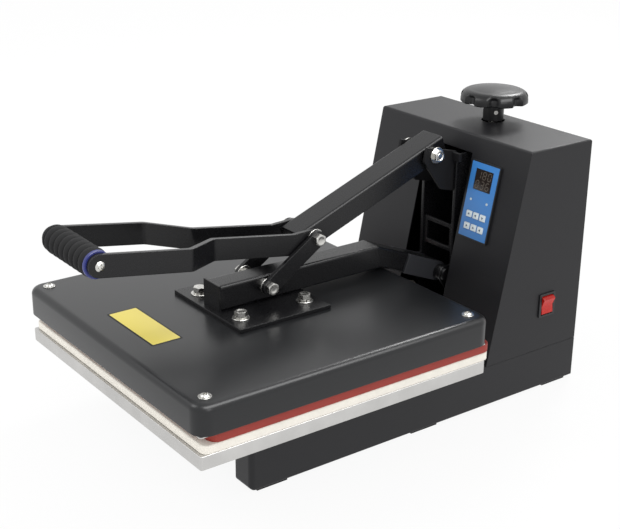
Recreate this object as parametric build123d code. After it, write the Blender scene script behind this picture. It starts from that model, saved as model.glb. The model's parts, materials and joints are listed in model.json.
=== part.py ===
from build123d import *

import math
import os

# A clamshell heat press. X runs to the operator's right, Y from the operator to the tower, Z up.
# While it is being built, y = 0 is the centre of the pressing plates and z = 0 is the table.
# Every length is in millimetres.

# ---- fits -------------------------------------------------------------------------------------
running_gap = 0.08          # radial clearance of a pivot in its bore
face_gap = 0.3              # between flat faces of pieces that move past each other
bolt_gap = 0.3              # radial clearance of a bolt in a plain hole
thread_gap = 0.05           # radial clearance that stands for an engaged thread
through = 1.0               # how far a cutter runs past the face that it opens

# ---- standard parts ---------------------------------------------------------------------------
pivot_radius = 4.0          # M8
hex_flats = 13.0
hex_height = 5.5
nut_height = 6.5
washer_radius = 10.0
washer_thickness = 1.5
small_screw_radius = 2.5    # M5
small_head_radius = 4.8
small_head_crown = 3.4      # radius of the pan head's flat top
small_head_height = 2.8
small_washer_radius = 7.0
small_washer_thickness = 1.0
tapping_screw_radius = 2.0
tapping_head_radius = 4.0
tapping_head_height = 2.6

# ---- base -------------------------------------------------------------------------------------
foot_height = 3.0
base_half_width = 136.0
base_height = 53.5
leg_width = 30.0
leg_setback = 94.0          # from the work plate's front edge to the legs' fronts
base_sheet = 2.0
leg_nose_radius = 6.0
foot_pad_length = 40.0
foot_pad_inset = 10.0
foot_pad_margin = 3.0
tray_slot_count = 5         # on each side of the middle
tray_slot_length = 40.0
tray_slot_width = 5.0
tray_slot_pitch = 12.0

# ---- tower cover ------------------------------------------------------------------------------
tower_gap = 57.0            # from the work plate's back edge to the tower's foot
tower_depth = 155.0         # at its foot
tower_setback = 53.0        # how far the front leans back over its height
tower_height = 261.0
tower_sheet = 1.5
tower_bend_radius = 3.0
slot_side_gap = 10.5        # between a guide plate and the slot's edge
slot_sill = 43.5            # above the base
slot_head_gap = 2.3         # above the guide plates
lip_width = 12.0
rear_screw_rise = 9.0
rear_screw_inset = 20.0
vent_count = 6
vent_length = 60.0
vent_width = 4.0
vent_pitch = 11.0
vent_rise = 123.5           # of the lowest, above the base

# ---- lower plate and its pads -----------------------------------------------------------------
plate_size = 380.0
plate_thickness = 15.5
plate_corner_radius = 2.5
support_height = 30.0
support_width = 40.0
support_spacing = 230.0
support_sheet = 2.5
support_end_inset = 4.0
foam_thickness = 10.0
foam_inset = 3.5
foam_corner_radius = 8.0
mat_thickness = 10.0
mat_inset = 2.5
mat_corner_radius = 12.0

# ---- heated plate and its cover ---------------------------------------------------------------
heat_plate_thickness = 14.0
heat_plate_corner_radius = 3.0
cover_overhang = 4.0        # past the plates, on each side
cover_height = 33.4
cover_lift = 1.5            # the heated plate hangs this far below the cover's rim
cover_sheet = 2.0
cover_corner_radius = 18.0
cover_edge_radius = 8.0
corner_screw_inset = 20.0
corner_thread_depth = 12.0
element_width = 8.0
element_thickness = 7.0
element_pitch = 50.0        # the middle runs pass between the pillars
element_front_margin = 40.0
element_side_margin = 65.0
element_tail = 15.0         # of both ends, past the bends
boss_flats = 16.0           # of the hexagonal pillars under the flange
corner_boss_flats = 11.0
boss_gap = 1.0              # from a pillar's corners to the wool
wool_margin = 25.0
gland_x = 37.0
gland_drop = 1.0            # below the middle of the cover's wall
gland_bore_radius = 3.5
gland_neck_radius = 7.0
gland_flats = 19.0
gland_nut_length = 5.0
gland_cap_radius = 8.2
gland_mouth_radius = 5.5
gland_cap_length = 13.0

# ---- flange, beam and rear arm ----------------------------------------------------------------
flange_width = 140.0
flange_length = 123.0
flange_thickness = 4.5
flange_centre_y = -2.5
flange_bolt_spacing = 87.0
flange_head_height = 7.7    # hexagon head on its spring washer
beam_width = 30.0
beam_height = 30.0
beam_wall = 2.5
beam_corner_radius = 3.5
beam_front_inset = 7.0      # behind the flange's front edge
end_plate_thickness = 3.0
end_plate_proud = 1.0
bend_inset = 18.0           # from the plate's back edge to where the beam's top turns down
rear_slope = 22.0           # degrees
rear_arm_height = 25.0
hinge_inset = 23.0          # from the tower's foot to the hinge
hinge_pin_radius = 6.0
hinge_spacer_radius = 10.0
hinge_head_radius = 9.0
hinge_head_height = 4.0
lug_thickness = 4.0
lug_length = 58.0

# ---- guide column -----------------------------------------------------------------------------
column_plate = 4.5
column_front_gap = 10.0     # from the hinge back to the guides' front edges
column_back_gap = 16.0      # from the guides to the tower's back
column_headroom = 24.5      # from the guides' tops to the tower's top
column_back_sheet = 4.0
column_foot_thickness = 6.0
column_foot_margin = 18.0
column_foot_bolt_pitch = 80.0
column_foot_bolt_height = 5.0
ear_radius = 10.5
ear_foot_drop = 32.0        # from the hinge down to the ear's foot
window_inset = 5.5          # from each guide to the window
window_height = 25.0
window_below_clevis = 52.0
window_rim = 5.5
window_plate = 4.0

# ---- toggle linkage ---------------------------------------------------------------------------
pivot_reach = 29.5          # of the upper pivot, in front of the guides
pivot_above_column = 3.0
knuckle_y = 4.0
knuckle_below_beam_top = 10.0
knuckle_spacer_radius = 7.0
link_length = 80.0
link_angle = 33.8           # degrees above level, from knuckle to elbow
link_thickness = 5.0
link_end_radius = 9.75

# ---- arm and handle ---------------------------------------------------------------------------
arm_side_gap = 0.5          # between the arm's walls and the beam that they close over
arm_wall = 3.0
arm_depth = 26.0
arm_bend_radius = 3.5
arm_front_overrun = 16.0
arm_rear_overrun = 21.0
bar_thickness = 5.0
bar_height = 25.0
bar_bend_radius = 10.0
bar_eye_radius = 11.0
bar_heel_setback = 30.5     # from the elbow towards the grip
bar_heel_drop = 2.8
bar_rise = 0.16             # height gained for each millimetre towards the grip
grip_overhang = 29.0        # of the grip's axis, in front of the work plate
joggle_to_grip = 107.0
joggle_length = 45.0
grip_half_span = 48.5
grip_tube_radius = 8.0
grip_radius = 14.6
grip_groove_depth = 2.2
grip_ribs = 8
grip_screw_length = 20.0
grip_head_radius = 5.5
grip_head_height = 3.0
collar_radius = 15.2
collar_width = 4.5
collar_edge_break = 0.8

# ---- clevis and pressure screw ----------------------------------------------------------------
pivot_spacer = 3.5          # between the arm and each cheek
pivot_spacer_radius = 9.0
clevis_gap = 0.5            # between the clevis and each guide plate
clevis_plate = 4.0
clevis_back_gap = 2.0       # to the guides' back edges
clevis_nose_reach = 19.0    # in front of the upper pivot
clevis_nose_rise = 11.0
clevis_nose_slant = 4.0
clevis_chin_drop = 6.0
clevis_toe_inset = 10.0     # behind the upper pivot
clevis_toe_rise = 5.0
clevis_bottom_drop = 50.0
clevis_top_drop = 9.0
clevis_shoulder_drop = 20.0
clevis_shoulder_slant = 10.0
clevis_block_margin = 6.0   # above the nut block
tab_slot_gap = 2.5          # between a tab and the slot's edge
tab_height = 10.0
screw_setback = 18.0        # from the guides' back edges to the screw
screw_radius = 8.0
screw_tail = 16.0           # below the clevis
journal_radius = 6.0
thrust_collar_radius = 11.0
thrust_collar_height = 7.0
bracket_thickness = 6.0
bracket_reach = 30.0        # in front of the screw
nut_block_height = 24.0
nut_block_depth = 32.0
nut_block_rise = 3.0
knob_radius = 43.2
knob_neck_height = 24.5     # from the tower's top to the knob's rim
knob_rim_height = 14.0
knob_crown_height = 9.0
knob_shoulder_radius = 4.0
knob_lobes = 8
knob_flute_radius = 11.0
knob_flute_depth = 3.5
knob_flute_land = 3.0       # of the rim above each flute
knob_hub_radius = 13.2
knob_clearance = 0.6        # between the hub and the tower's top
knob_hole_radius = 15.0
knob_bore_depth = 9.0       # past the rim's underside
grub_radius = 2.6
grub_length = 5.0
grub_bearing = -30.0        # degrees

# ---- controller on the sloping front ----------------------------------------------------------
panel_slot_gap = 4.65       # from the slot's edge to the controller
panel_drop = 75.0           # from the tower's top to the controller's middle
panel_width = 46.5
panel_height = 93.0
panel_rim = 1.6
panel_proud = 3.0
panel_corner_radius = 2.0
panel_body_depth = 32.0
panel_body_gap = 0.5
overlay_thickness = 1.2
overlay_gap = 0.2
display_width = 29.6
display_height = 26.0
display_rise = 25.9
display_gap = 0.15
display_recess = 0.4
led_spacing = 27.6
led_radius = 1.5
led_gap = 0.2
led_proud = 0.5
key_width = 9.5
key_height = 8.0
key_pitch_x = 11.6
key_rows = (-17.9, -33.0)
key_proud = 0.8
key_travel = 0.6
key_side_gap = 0.3
key_floor_gap = 0.1
key_well_depth = 4.0        # below the tower's sheet

# ---- power switch, inlet and fuse -------------------------------------------------------------
switch_inset = 57.5         # from the tower's back
switch_rise = 59.0          # above the base
switch_width = 27.0
switch_height = 31.0
switch_proud = 2.0
switch_corner_radius = 2.0
switch_hole_margin = 2.0    # of the bezel over its hole
switch_body_gap = 0.3
switch_body_depth = 22.0
switch_mouth_depth = 18.0
rocker_width = 19.0
rocker_radius = 12.5
rocker_depth = 5.0          # of its pivot, behind the bezel's face
rocker_face = 7.5           # from its pivot to the ends of its face
rocker_dish = 2.5
rocker_back = 4.0
rocker_tilt = 9.0           # degrees, half of its throw
rear_fitting_rise = 43.5    # above the base
inlet_side_share = 15 / 38  # of the free width beside the column, outside the inlet
fuse_gap_share = 6.5 / 38   # of the same, between the inlet and the fuse holder
inlet_flange_half = 25.0
inlet_flange_rise = 14.0
inlet_flange_thickness = 3.0
inlet_body_half = 13.7
inlet_body_rise = 10.0
inlet_body_depth = 18.0
inlet_socket_half = 12.0
inlet_socket_rise = 8.0
inlet_socket_depth = 15.0
inlet_hole_gap = 0.3
blade_half_width = 1.0
blade_half_height = 2.0
blade_length = 11.0
blade_spread = 7.0
blade_offset = 2.0
fuse_body_radius = 6.0
fuse_flange_radius = 8.5
fuse_flange_thickness = 2.5
fuse_cap_height = 4.5
fuse_body_length = 30.0
fuse_slot_width = 1.4
fuse_slot_depth = 1.2

# ---- inside the tower -------------------------------------------------------------------------
sink_side_gap = 10.5        # to the tower's lip
sink_foot_gap = 13.0        # to the column's foot
sink_back_inset = 42.0
sink_length = 60.0
sink_base = 5.0
sink_height = 20.0
fin_count = 6
fin_thickness = 2.0
fin_margin = 4.0
relay_margin = 3.0
relay_length = 44.0
relay_height = 22.0
terminal_side_gap = 12.5
terminal_foot_gap = 1.0
terminal_back_inset = 60.0
terminal_ways = 5
terminal_depth = 22.0
terminal_height = 18.0
terminal_well_width = 6.4
terminal_well_depth = 8.0

# ---- places along Y ---------------------------------------------------------------------------
plate_half = plate_size / 2
leg_front_y = -plate_half + leg_setback
tower_front_low_y = plate_half + tower_gap
tower_front_high_y = tower_front_low_y + tower_setback
tower_back_y = tower_front_low_y + tower_depth
bend_y = plate_half - bend_inset
beam_front_y = flange_centre_y - flange_length / 2 + beam_front_inset
hinge_y = tower_front_low_y + hinge_inset
column_front_y = hinge_y + column_front_gap
column_back_y = tower_back_y - column_back_gap
upper_pivot_y = column_front_y - pivot_reach
screw_y = column_back_y - screw_setback
switch_y = tower_back_y - switch_inset
grip_y = -plate_half - grip_overhang
joggle_end_y = grip_y + joggle_to_grip
joggle_start_y = joggle_end_y + joggle_length

# ---- heights ----------------------------------------------------------------------------------
base_top_z = foot_height + base_height
tower_top_z = base_top_z + tower_height
plate_bottom_z = base_top_z + support_height
plate_top_z = plate_bottom_z + plate_thickness
foam_top_z = plate_top_z + foam_thickness
mat_top_z = foam_top_z + mat_thickness
heat_bottom_z = mat_top_z + face_gap
heat_top_z = heat_bottom_z + heat_plate_thickness
cover_bottom_z = heat_bottom_z + cover_lift
cover_top_z = cover_bottom_z + cover_height
gland_z = (cover_bottom_z + cover_top_z) / 2 - gland_drop
flange_top_z = cover_top_z + flange_thickness
beam_top_z = flange_top_z + beam_height
slope = math.radians(rear_slope)
hinge_z = (beam_top_z - (hinge_y - bend_y) * math.tan(slope)
           - rear_arm_height / 2 / math.cos(slope))
knuckle_z = beam_top_z - knuckle_below_beam_top
column_foot_z = base_top_z + column_foot_thickness
column_top_z = tower_top_z - column_headroom
upper_pivot_z = column_top_z + pivot_above_column
clevis_bottom_z = upper_pivot_z - clevis_bottom_drop
window_top_z = clevis_bottom_z - window_below_clevis
window_bottom_z = window_top_z - window_height
slot_bottom_z = base_top_z + slot_sill
slot_top_z = column_top_z + slot_head_gap
panel_z = tower_top_z - panel_drop
switch_z = base_top_z + switch_rise
rear_fitting_z = base_top_z + rear_fitting_rise
knob_bottom_z = tower_top_z + knob_neck_height
tower_lean = math.degrees(math.atan2(tower_setback, tower_height))

# ---- places along X: each layer of the linkage lies on the one inside it -----------------------
arm_half_width = beam_width / 2 + arm_side_gap + arm_wall
bar_outer_x = arm_half_width + bar_thickness
link_inner_x = bar_outer_x + washer_thickness
link_outer_x = link_inner_x + link_thickness
clevis_inner = arm_half_width + pivot_spacer
clevis_outer = clevis_inner + clevis_plate
column_inner = clevis_outer + clevis_gap
column_outer = column_inner + column_plate
slot_half_width = column_outer + slot_side_gap
window_half_width = column_inner - window_inset
panel_x = slot_half_width + panel_slot_gap + panel_rim + panel_width / 2
column_foot_half = column_outer + column_foot_margin
lip_inner_x = base_half_width - tower_sheet - lip_width
rear_free = base_half_width - column_outer - 2 * inlet_flange_half - 2 * fuse_flange_radius
inlet_x = -(base_half_width - inlet_side_share * rear_free - inlet_flange_half)
fuse_x = inlet_x + inlet_flange_half + fuse_gap_share * rear_free + fuse_flange_radius
cover_size = plate_size + 2 * cover_overhang
corner_screw_offset = cover_size / 2 - corner_screw_inset
element_runs = 2 * int((plate_half - element_side_margin) / element_pitch + 0.5)

# ---- places on the slopes ---------------------------------------------------------------------
elbow_y = knuckle_y + link_length * math.cos(math.radians(link_angle))
elbow_z = knuckle_z + link_length * math.sin(math.radians(link_angle))
arm_length = math.hypot(upper_pivot_y - elbow_y, upper_pivot_z - elbow_z)
arm_slope = math.degrees(math.atan2(upper_pivot_z - elbow_z, upper_pivot_y - elbow_y))
bar_heel_y = elbow_y - bar_heel_setback
heel_z = elbow_z - bar_heel_drop
grip_z = heel_z + (bar_heel_y - grip_y) * bar_rise


def tower_front_y(z):
    """Y of the tower's outer front face at height z."""
    share = (z - base_top_z) / tower_height
    return tower_front_low_y + share * (tower_front_high_y - tower_front_low_y)


# ---- helpers ----------------------------------------------------------------------------------
on_its_foot = (Align.CENTER, Align.CENTER, Align.MIN)


def span(x0, x1, y0, y1, z0, z1):
    """A box between two corners."""
    return Pos((x0 + x1) / 2, (y0 + y1) / 2, (z0 + z1) / 2) * Box(x1 - x0, y1 - y0, z1 - z0)


def across(outline, x0, x1):
    """A sketch drawn with (y, z) as its own axes, carried along X."""
    return extrude(Plane.YZ.offset(x0) * outline, x1 - x0, dir=(1, 0, 0))


def side_outline(*points):
    """A polygon in (y, z)."""
    return Polygon(*points, align=None)


def pin(y, z, radius, x0, x1):
    """A round bar along X."""
    return across(Pos(y, z) * Circle(radius), x0, x1)


def hex_along_x(y, z, flats, x0, x1):
    """A hexagonal head or nut along X."""
    return across(Pos(y, z) * RegularPolygon(flats / 2, 6, major_radius=False), x0, x1)


def disc(x, y, z, radius, height):
    """An upright cylinder standing on z."""
    return Pos(x, y, z) * Cylinder(radius, height, align=on_its_foot)


def rear_disc(x, y, z, radius, length):
    """A cylinder that starts at y and runs backwards."""
    return Pos(x, y, z) * Rot(X=-90) * Cylinder(radius, length, align=on_its_foot)


def hexagon(x, y, z, flats, height):
    """An upright hexagonal head or nut standing on z."""
    return extrude(Pos(x, y, z) * RegularPolygon(flats / 2, 6, major_radius=False), height)


def mirrored(part):
    """The same piece on the other side."""
    return mirror(part, about=Plane.YZ)


def pair(part):
    """A piece and its mirror image, as two solids."""
    return part + mirrored(part)


def at_corners(spacing_x, spacing_y, centre_y=0.0):
    """The four corners of a rectangle."""
    return [(sx * spacing_x / 2, centre_y + sy * spacing_y / 2) for sx in (-1, 1) for sy in (-1, 1)]


def rounded_plate(size_x, size_y, corner_radius, z0, z1, centre_y=0.0):
    """A flat plate with round corners."""
    return extrude(Pos(0, centre_y, z0) * RectangleRounded(size_x, size_y, corner_radius), z1 - z0)


# ---- base -------------------------------------------------------------------------------------
def side_legs():
    """Channels open towards the middle, closed at both ends."""
    inner = base_half_width - leg_width
    leg = span(inner, base_half_width, leg_front_y, tower_back_y, foot_height, base_top_z)
    long_edges = leg.edges().filter_by(Axis.Y).group_by(Axis.X)[-1]
    leg = fillet(long_edges, base_sheet)
    leg = fillet(leg.edges().filter_by(Axis.X).group_by(Axis.Z)[0].sort_by(Axis.Y)[0], leg_nose_radius)
    hollow = span(inner - through, base_half_width - base_sheet,
                  leg_front_y + base_sheet, tower_back_y - base_sheet,
                  foot_height + base_sheet, base_top_z - base_sheet)
    return pair(leg - hollow)


def rear_tray():
    """The folded tray between the legs, under the tower."""
    half = base_half_width - leg_width
    outside = span(-half, half, tower_front_low_y, tower_back_y, foot_height, base_top_z)
    inside = span(-half - through, half + through, tower_front_low_y + base_sheet, tower_back_y - base_sheet,
                  foot_height - through, base_top_z - base_sheet)
    return outside - inside


def bottom_cover():
    """The thin plate that closes the tray from below, with two rows of air slots."""
    half = base_half_width - leg_width
    plate = span(-half, half, tower_front_low_y + base_sheet, tower_back_y - base_sheet,
                 foot_height, foot_height + tower_sheet)
    middle_y = (tower_front_low_y + tower_back_y) / 2
    slots = Sketch()
    for side in (-1, 1):
        for row in range(tray_slot_count):
            y = middle_y + (row - (tray_slot_count - 1) / 2) * tray_slot_pitch
            slots += Pos(side * half / 2, y) * Rectangle(tray_slot_length, tray_slot_width)
    return plate - extrude(Pos(0, 0, foot_height - through) * slots, tower_sheet + 2 * through)


def rubber_feet():
    """Pads under the front, middle and back of both legs."""
    centre_x = base_half_width - leg_width / 2
    first = leg_front_y + foot_pad_inset + foot_pad_length / 2
    last = tower_back_y - foot_pad_inset - foot_pad_length / 2
    pads = Part()
    for y in (first, (first + last) / 2, last):
        outline = Pos(centre_x, y) * Rectangle(leg_width - 2 * foot_pad_margin, foot_pad_length)
        pads += pair(extrude(outline, foot_height))
    return pads


def platen_supports():
    """Two folded channels across the legs, which carry the lower plate."""
    half = base_half_width - support_end_inset
    supports = Part()
    for side in (-1, 1):
        front = side * support_spacing / 2 - support_width / 2
        back = front + support_width
        channel = span(-half, half, front, back, base_top_z, plate_bottom_z)
        channel -= span(-half - through, half + through, front + support_sheet, back - support_sheet,
                        base_top_z - through, plate_bottom_z - support_sheet)
        supports += channel
    return supports


def lower_plate():
    """The machined aluminium work plate."""
    return rounded_plate(plate_size, plate_size, plate_corner_radius, plate_bottom_z, plate_top_z)


def foam_pad():
    """The sponge pad on the work plate."""
    size = plate_size - 2 * foam_inset
    return rounded_plate(size, size, foam_corner_radius, plate_top_z, foam_top_z)


def silicone_mat():
    """The mat on the pad."""
    size = plate_size - 2 * mat_inset
    return rounded_plate(size, size, mat_corner_radius, foam_top_z, mat_top_z)


# ---- tower ------------------------------------------------------------------------------------
def panel_plane():
    """The controller's plane: X to the right, Y up the slope, Z out of the tower."""
    lean = math.radians(tower_lean)
    origin = (panel_x, tower_front_y(panel_z), panel_z)
    return Plane(origin=origin, x_dir=(1, 0, 0), z_dir=(0, -math.cos(lean), math.sin(lean)))


def panel_edges(part):
    """The edges that run along the panel's normal."""
    return part.edges().filter_by(Axis((0, 0, 0), panel_plane().z_dir))


def on_panel(x, y, width, height, low, high):
    """A box on the controller's plane, from low to high along its normal."""
    sketch = Pos(x, y, low) * Rectangle(width, height)
    return extrude(panel_plane() * sketch, high - low)


def rear_screw_places():
    """A screw at each end of the foot of the tower's back."""
    reach = base_half_width - rear_screw_inset
    return [(side * reach, base_top_z + rear_screw_rise) for side in (-1, 1)]


def tower_cover():
    """The folded sheet cover, open below, with inward lips that stand on the base."""
    inner_shift = tower_sheet / math.cos(math.radians(tower_lean))
    outer = side_outline((tower_front_low_y, base_top_z), (tower_front_high_y, tower_top_z),
                         (tower_back_y, tower_top_z), (tower_back_y, base_top_z))
    roof_z = tower_top_z - tower_sheet
    low_z = base_top_z - through
    inner = side_outline((tower_front_y(low_z) + inner_shift, low_z),
                         (tower_front_y(roof_z) + inner_shift, roof_z),
                         (tower_back_y - tower_sheet, roof_z), (tower_back_y - tower_sheet, low_z))
    half = base_half_width
    body = across(outer, -half, half)
    body = fillet(body.edges().group_by(Axis.Z)[-1], tower_bend_radius)
    cover = body - across(inner, -half + tower_sheet, half - tower_sheet)
    cover += pair(span(half - tower_sheet - lip_width, half - tower_sheet, tower_front_low_y + lip_width,
                       tower_back_y - tower_sheet, base_top_z, base_top_z + tower_sheet))
    cover -= span(-slot_half_width, slot_half_width, tower_front_low_y - through,
                  tower_front_high_y + 2 * inner_shift, slot_bottom_z, slot_top_z)
    cover -= on_panel(0, 0, panel_width - 2 * panel_rim, panel_height - 2 * panel_rim,
                      -2 * inner_shift, through)
    cover -= disc(0, screw_y, roof_z - through, knob_hole_radius, tower_sheet + 2 * through)
    hole_width = switch_width - 2 * switch_hole_margin
    hole_height = switch_height - 2 * switch_hole_margin
    cover -= span(half - 2 * tower_sheet, half + through,
                  switch_y - hole_width / 2, switch_y + hole_width / 2,
                  switch_z - hole_height / 2, switch_z + hole_height / 2)
    return cover - rear_openings()


def rear_openings():
    """What is cut from the tower's back: inlet, fuse holder, screw holes and a column of vents."""
    cuts = Pos(inlet_x, rear_fitting_z) * Rectangle(2 * (inlet_body_half + inlet_hole_gap),
                                                    2 * (inlet_body_rise + inlet_hole_gap))
    cuts += Pos(fuse_x, rear_fitting_z) * Circle(fuse_body_radius + bolt_gap)
    for x, z in rear_screw_places():
        cuts += Pos(x, z) * Circle(tapping_screw_radius + bolt_gap)
    for row in range(vent_count):
        vent_z = base_top_z + vent_rise + row * vent_pitch
        cuts += Pos(base_half_width / 2, vent_z) * Rectangle(vent_length, vent_width)
    outside = Plane.XZ.offset(-tower_back_y - through)
    return extrude(outside * cuts, tower_sheet + 2 * through)


def tower_screws():
    """Pan-head screws that hold the cover's back to the base."""
    screws = Part()
    for x, z in rear_screw_places():
        screws += rear_disc(x, tower_back_y, z, tapping_head_radius, tapping_head_height)
        screws += rear_disc(x, tower_back_y - 3 * tower_sheet, z, tapping_screw_radius, 3 * tower_sheet)
    return screws


def controller_case():
    """A shallow frame on the panel with the electronics box behind it."""
    frame = on_panel(0, 0, panel_width + 2 * panel_rim, panel_height + 2 * panel_rim, 0, panel_proud)
    frame = fillet(panel_edges(frame), panel_corner_radius)
    frame -= on_panel(0, 0, panel_width, panel_height, panel_proud - overlay_thickness, panel_proud + through)
    margin = 2 * (panel_rim + panel_body_gap)
    frame += on_panel(0, 0, panel_width - margin, panel_height - margin, -panel_body_depth, 0)
    for x, y in key_places():
        frame -= key_well(x, y, -key_well_depth)
    return frame


def key_well(x, y, low):
    """The room round one key, from low on the panel's normal to clear of the frame."""
    return on_panel(x, y, key_width + 2 * key_side_gap, key_height + 2 * key_side_gap,
                    low, panel_proud + through)


def key_places():
    """Two rows of three keys, as places on the panel."""
    return [(column * key_pitch_x, row) for row in key_rows for column in (-1, 0, 1)]


def led_places():
    """Two lamps below the display, as places on the panel."""
    return [(side * led_spacing / 2, 0) for side in (-1, 1)]


def controller_overlay():
    """The thin membrane in the frame, cut out round the display, lamps and keys."""
    low = panel_proud - overlay_thickness
    sheet = on_panel(0, 0, panel_width - 2 * overlay_gap, panel_height - 2 * overlay_gap, low, panel_proud)
    sheet -= on_panel(0, display_rise, display_width, display_height, low - through, panel_proud + through)
    for x, y in led_places():
        lamp = Pos(x, y, low - through) * Circle(led_radius + led_gap)
        sheet -= extrude(panel_plane() * lamp, overlay_thickness + 2 * through)
    for x, y in key_places():
        sheet -= key_well(x, y, low - through)
    return sheet


def display_window():
    """The dark window over the digits, a little below the membrane."""
    return on_panel(0, display_rise, display_width - 2 * display_gap, display_height - 2 * display_gap,
                    panel_proud - overlay_thickness, panel_proud - display_recess)


def indicator_leds():
    """Two lamps that stand just proud of the membrane."""
    lamps = Part()
    for x, y in led_places():
        lens = Pos(x, y, panel_proud - overlay_thickness) * Circle(led_radius)
        lamps += extrude(panel_plane() * lens, overlay_thickness + led_proud)
    return lamps


def key(index):
    """One key: a low cap on a stem that slides in the case."""
    x, y = key_places()[index]
    floor = key_travel + key_floor_gap - key_well_depth
    return on_panel(x, y, key_width, key_height, floor, panel_proud + key_proud)


def switch_box(margin, depth, proud):
    """A box round the switch's centre, drawn in by a margin, from depth behind to proud of the side."""
    return span(base_half_width - depth, base_half_width + proud,
                switch_y - switch_width / 2 + margin, switch_y + switch_width / 2 - margin,
                switch_z - switch_height / 2 + margin, switch_z + switch_height / 2 - margin)


def switch_bezel():
    """The rocker switch's frame and its body behind the sheet."""
    frame = switch_box(0, 0, switch_proud)
    frame = fillet(frame.edges().filter_by(Axis.X), switch_corner_radius)
    body = switch_box(switch_hole_margin + switch_body_gap, switch_body_depth, 0)
    mouth = span(base_half_width - switch_mouth_depth, base_half_width + switch_proud + through,
                 switch_y - rocker_width / 2 - face_gap, switch_y + rocker_width / 2 + face_gap,
                 switch_z - rocker_radius - face_gap, switch_z + rocker_radius + face_gap)
    return frame + body - mouth


def rocker():
    """The rocker: a drum about its pivot with a dished face, tilted so that its foot is in."""
    end_z = math.sqrt(rocker_radius ** 2 - rocker_face ** 2)
    lip_x = rocker_face + rocker_dish * (rocker_radius - end_z) / end_z
    face = Polygon((-rocker_back, -rocker_radius), (lip_x, -rocker_radius), (rocker_face - rocker_dish, 0),
                   (lip_x, rocker_radius), (-rocker_back, rocker_radius), align=None)
    outline = Circle(rocker_radius) & face
    solid = extrude(Plane.XZ.offset(-switch_y - rocker_width / 2) * outline, rocker_width, dir=(0, -1, 0))
    pivot_x = base_half_width + switch_proud - rocker_depth
    return Pos(pivot_x, 0, switch_z) * Rot(Y=rocker_tilt) * solid


def inlet_box(half_width, half_height, depth, proud):
    """A box round the inlet's centre, from depth inside the tower's back to proud of it."""
    return span(inlet_x - half_width, inlet_x + half_width, tower_back_y - depth, tower_back_y + proud,
                rear_fitting_z - half_height, rear_fitting_z + half_height)


def power_inlet():
    """The three-blade mains inlet in the tower's back."""
    flange = inlet_box(inlet_flange_half, inlet_flange_rise, 0, inlet_flange_thickness)
    corner_radius = inlet_flange_rise - inlet_body_rise
    flange = fillet(flange.edges().filter_by(Axis.Y), corner_radius)
    inlet = flange + inlet_box(inlet_body_half, inlet_body_rise, inlet_body_depth, 0)
    inlet -= inlet_box(inlet_socket_half, inlet_socket_rise, inlet_socket_depth,
                       inlet_flange_thickness + through)
    deep_end = tower_back_y - inlet_socket_depth
    for dx, dz in ((-blade_spread, -blade_offset), (0, blade_offset), (blade_spread, -blade_offset)):
        x, z = inlet_x + dx, rear_fitting_z + dz
        inlet += span(x - blade_half_width, x + blade_half_width, deep_end, deep_end + blade_length,
                      z - blade_half_height, z + blade_half_height)
    return inlet


def fuse_holder():
    """A round fuse holder with a slotted cap."""
    x, z = fuse_x, rear_fitting_z
    cap_y = tower_back_y + fuse_flange_thickness
    holder = rear_disc(x, tower_back_y, z, fuse_flange_radius, fuse_flange_thickness)
    holder += rear_disc(x, tower_back_y - fuse_body_length, z, fuse_body_radius, fuse_body_length)
    holder += rear_disc(x, cap_y, z, fuse_body_radius, fuse_cap_height)
    slot_floor = cap_y + fuse_cap_height - fuse_slot_depth
    slot = span(x - fuse_body_radius, x + fuse_body_radius,
                slot_floor, slot_floor + fuse_slot_depth + through,
                z - fuse_slot_width / 2, z + fuse_slot_width / 2)
    return holder - slot


def relay_module():
    """The heater's solid-state relay on its finned heat sink."""
    x0 = column_foot_half + sink_foot_gap
    x1 = lip_inner_x - sink_side_gap
    y0 = tower_back_y - sink_back_inset - sink_length
    module = span(x0, x1, y0, y0 + sink_length, base_top_z, base_top_z + sink_base)
    pitch = (sink_length - 2 * fin_margin - fin_thickness) / (fin_count - 1)
    for fin in range(fin_count):
        y = y0 + fin_margin + fin * pitch
        module += span(x0, x1, y, y + fin_thickness, base_top_z, base_top_z + sink_height)
    middle_y = y0 + sink_length / 2
    relay_z = base_top_z + sink_height
    return module + span(x0 + relay_margin, x1 - relay_margin, middle_y - relay_length / 2,
                         middle_y + relay_length / 2, relay_z, relay_z + relay_height)


def terminal_block():
    """A row of screw terminals on the base."""
    x0 = -(lip_inner_x - terminal_side_gap)
    x1 = -(column_foot_half + terminal_foot_gap)
    pitch = (x1 - x0) / terminal_ways
    y0 = tower_back_y - terminal_back_inset - terminal_depth
    top_z = base_top_z + terminal_height
    block = span(x0, x1, y0, y0 + terminal_depth, base_top_z, top_z)
    well_height = terminal_well_depth + through
    for way in range(terminal_ways):
        x = x0 + (way + 0.5) * pitch
        well_place = Pos(x, y0 + terminal_depth / 2, top_z - terminal_well_depth)
        block -= well_place * Box(terminal_well_width, terminal_well_width, well_height, align=on_its_foot)
    return block


# ---- guide column -----------------------------------------------------------------------------
def column_plates():
    """Two upright guide plates, each with a round-nosed ear at the hinge."""
    upright = side_outline((column_front_y, column_foot_z), (column_front_y, column_top_z),
                           (column_back_y, column_top_z), (column_back_y, column_foot_z))
    nose = Pos(hinge_y, hinge_z) * Circle(ear_radius)
    root = Line((column_front_y, hinge_z + ear_radius), (column_front_y, hinge_z - ear_foot_drop))
    ear = make_hull(nose.edges() + root.edges())
    plate = across(upright + ear, column_inner, column_outer)
    plate -= pin(hinge_y, hinge_z, hinge_pin_radius + running_gap,
                 column_inner - through, column_outer + through)
    return pair(plate)


def column_cross_plate():
    """The plate between the guides, with a rectangular window."""
    front = column_front_y + window_rim / 2
    plate = span(-column_inner, column_inner, front, front + window_plate,
                 window_bottom_z - window_rim, window_top_z + window_rim)
    return plate - span(-window_half_width, window_half_width,
                        front - through, front + window_plate + through,
                        window_bottom_z, window_top_z)


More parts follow.
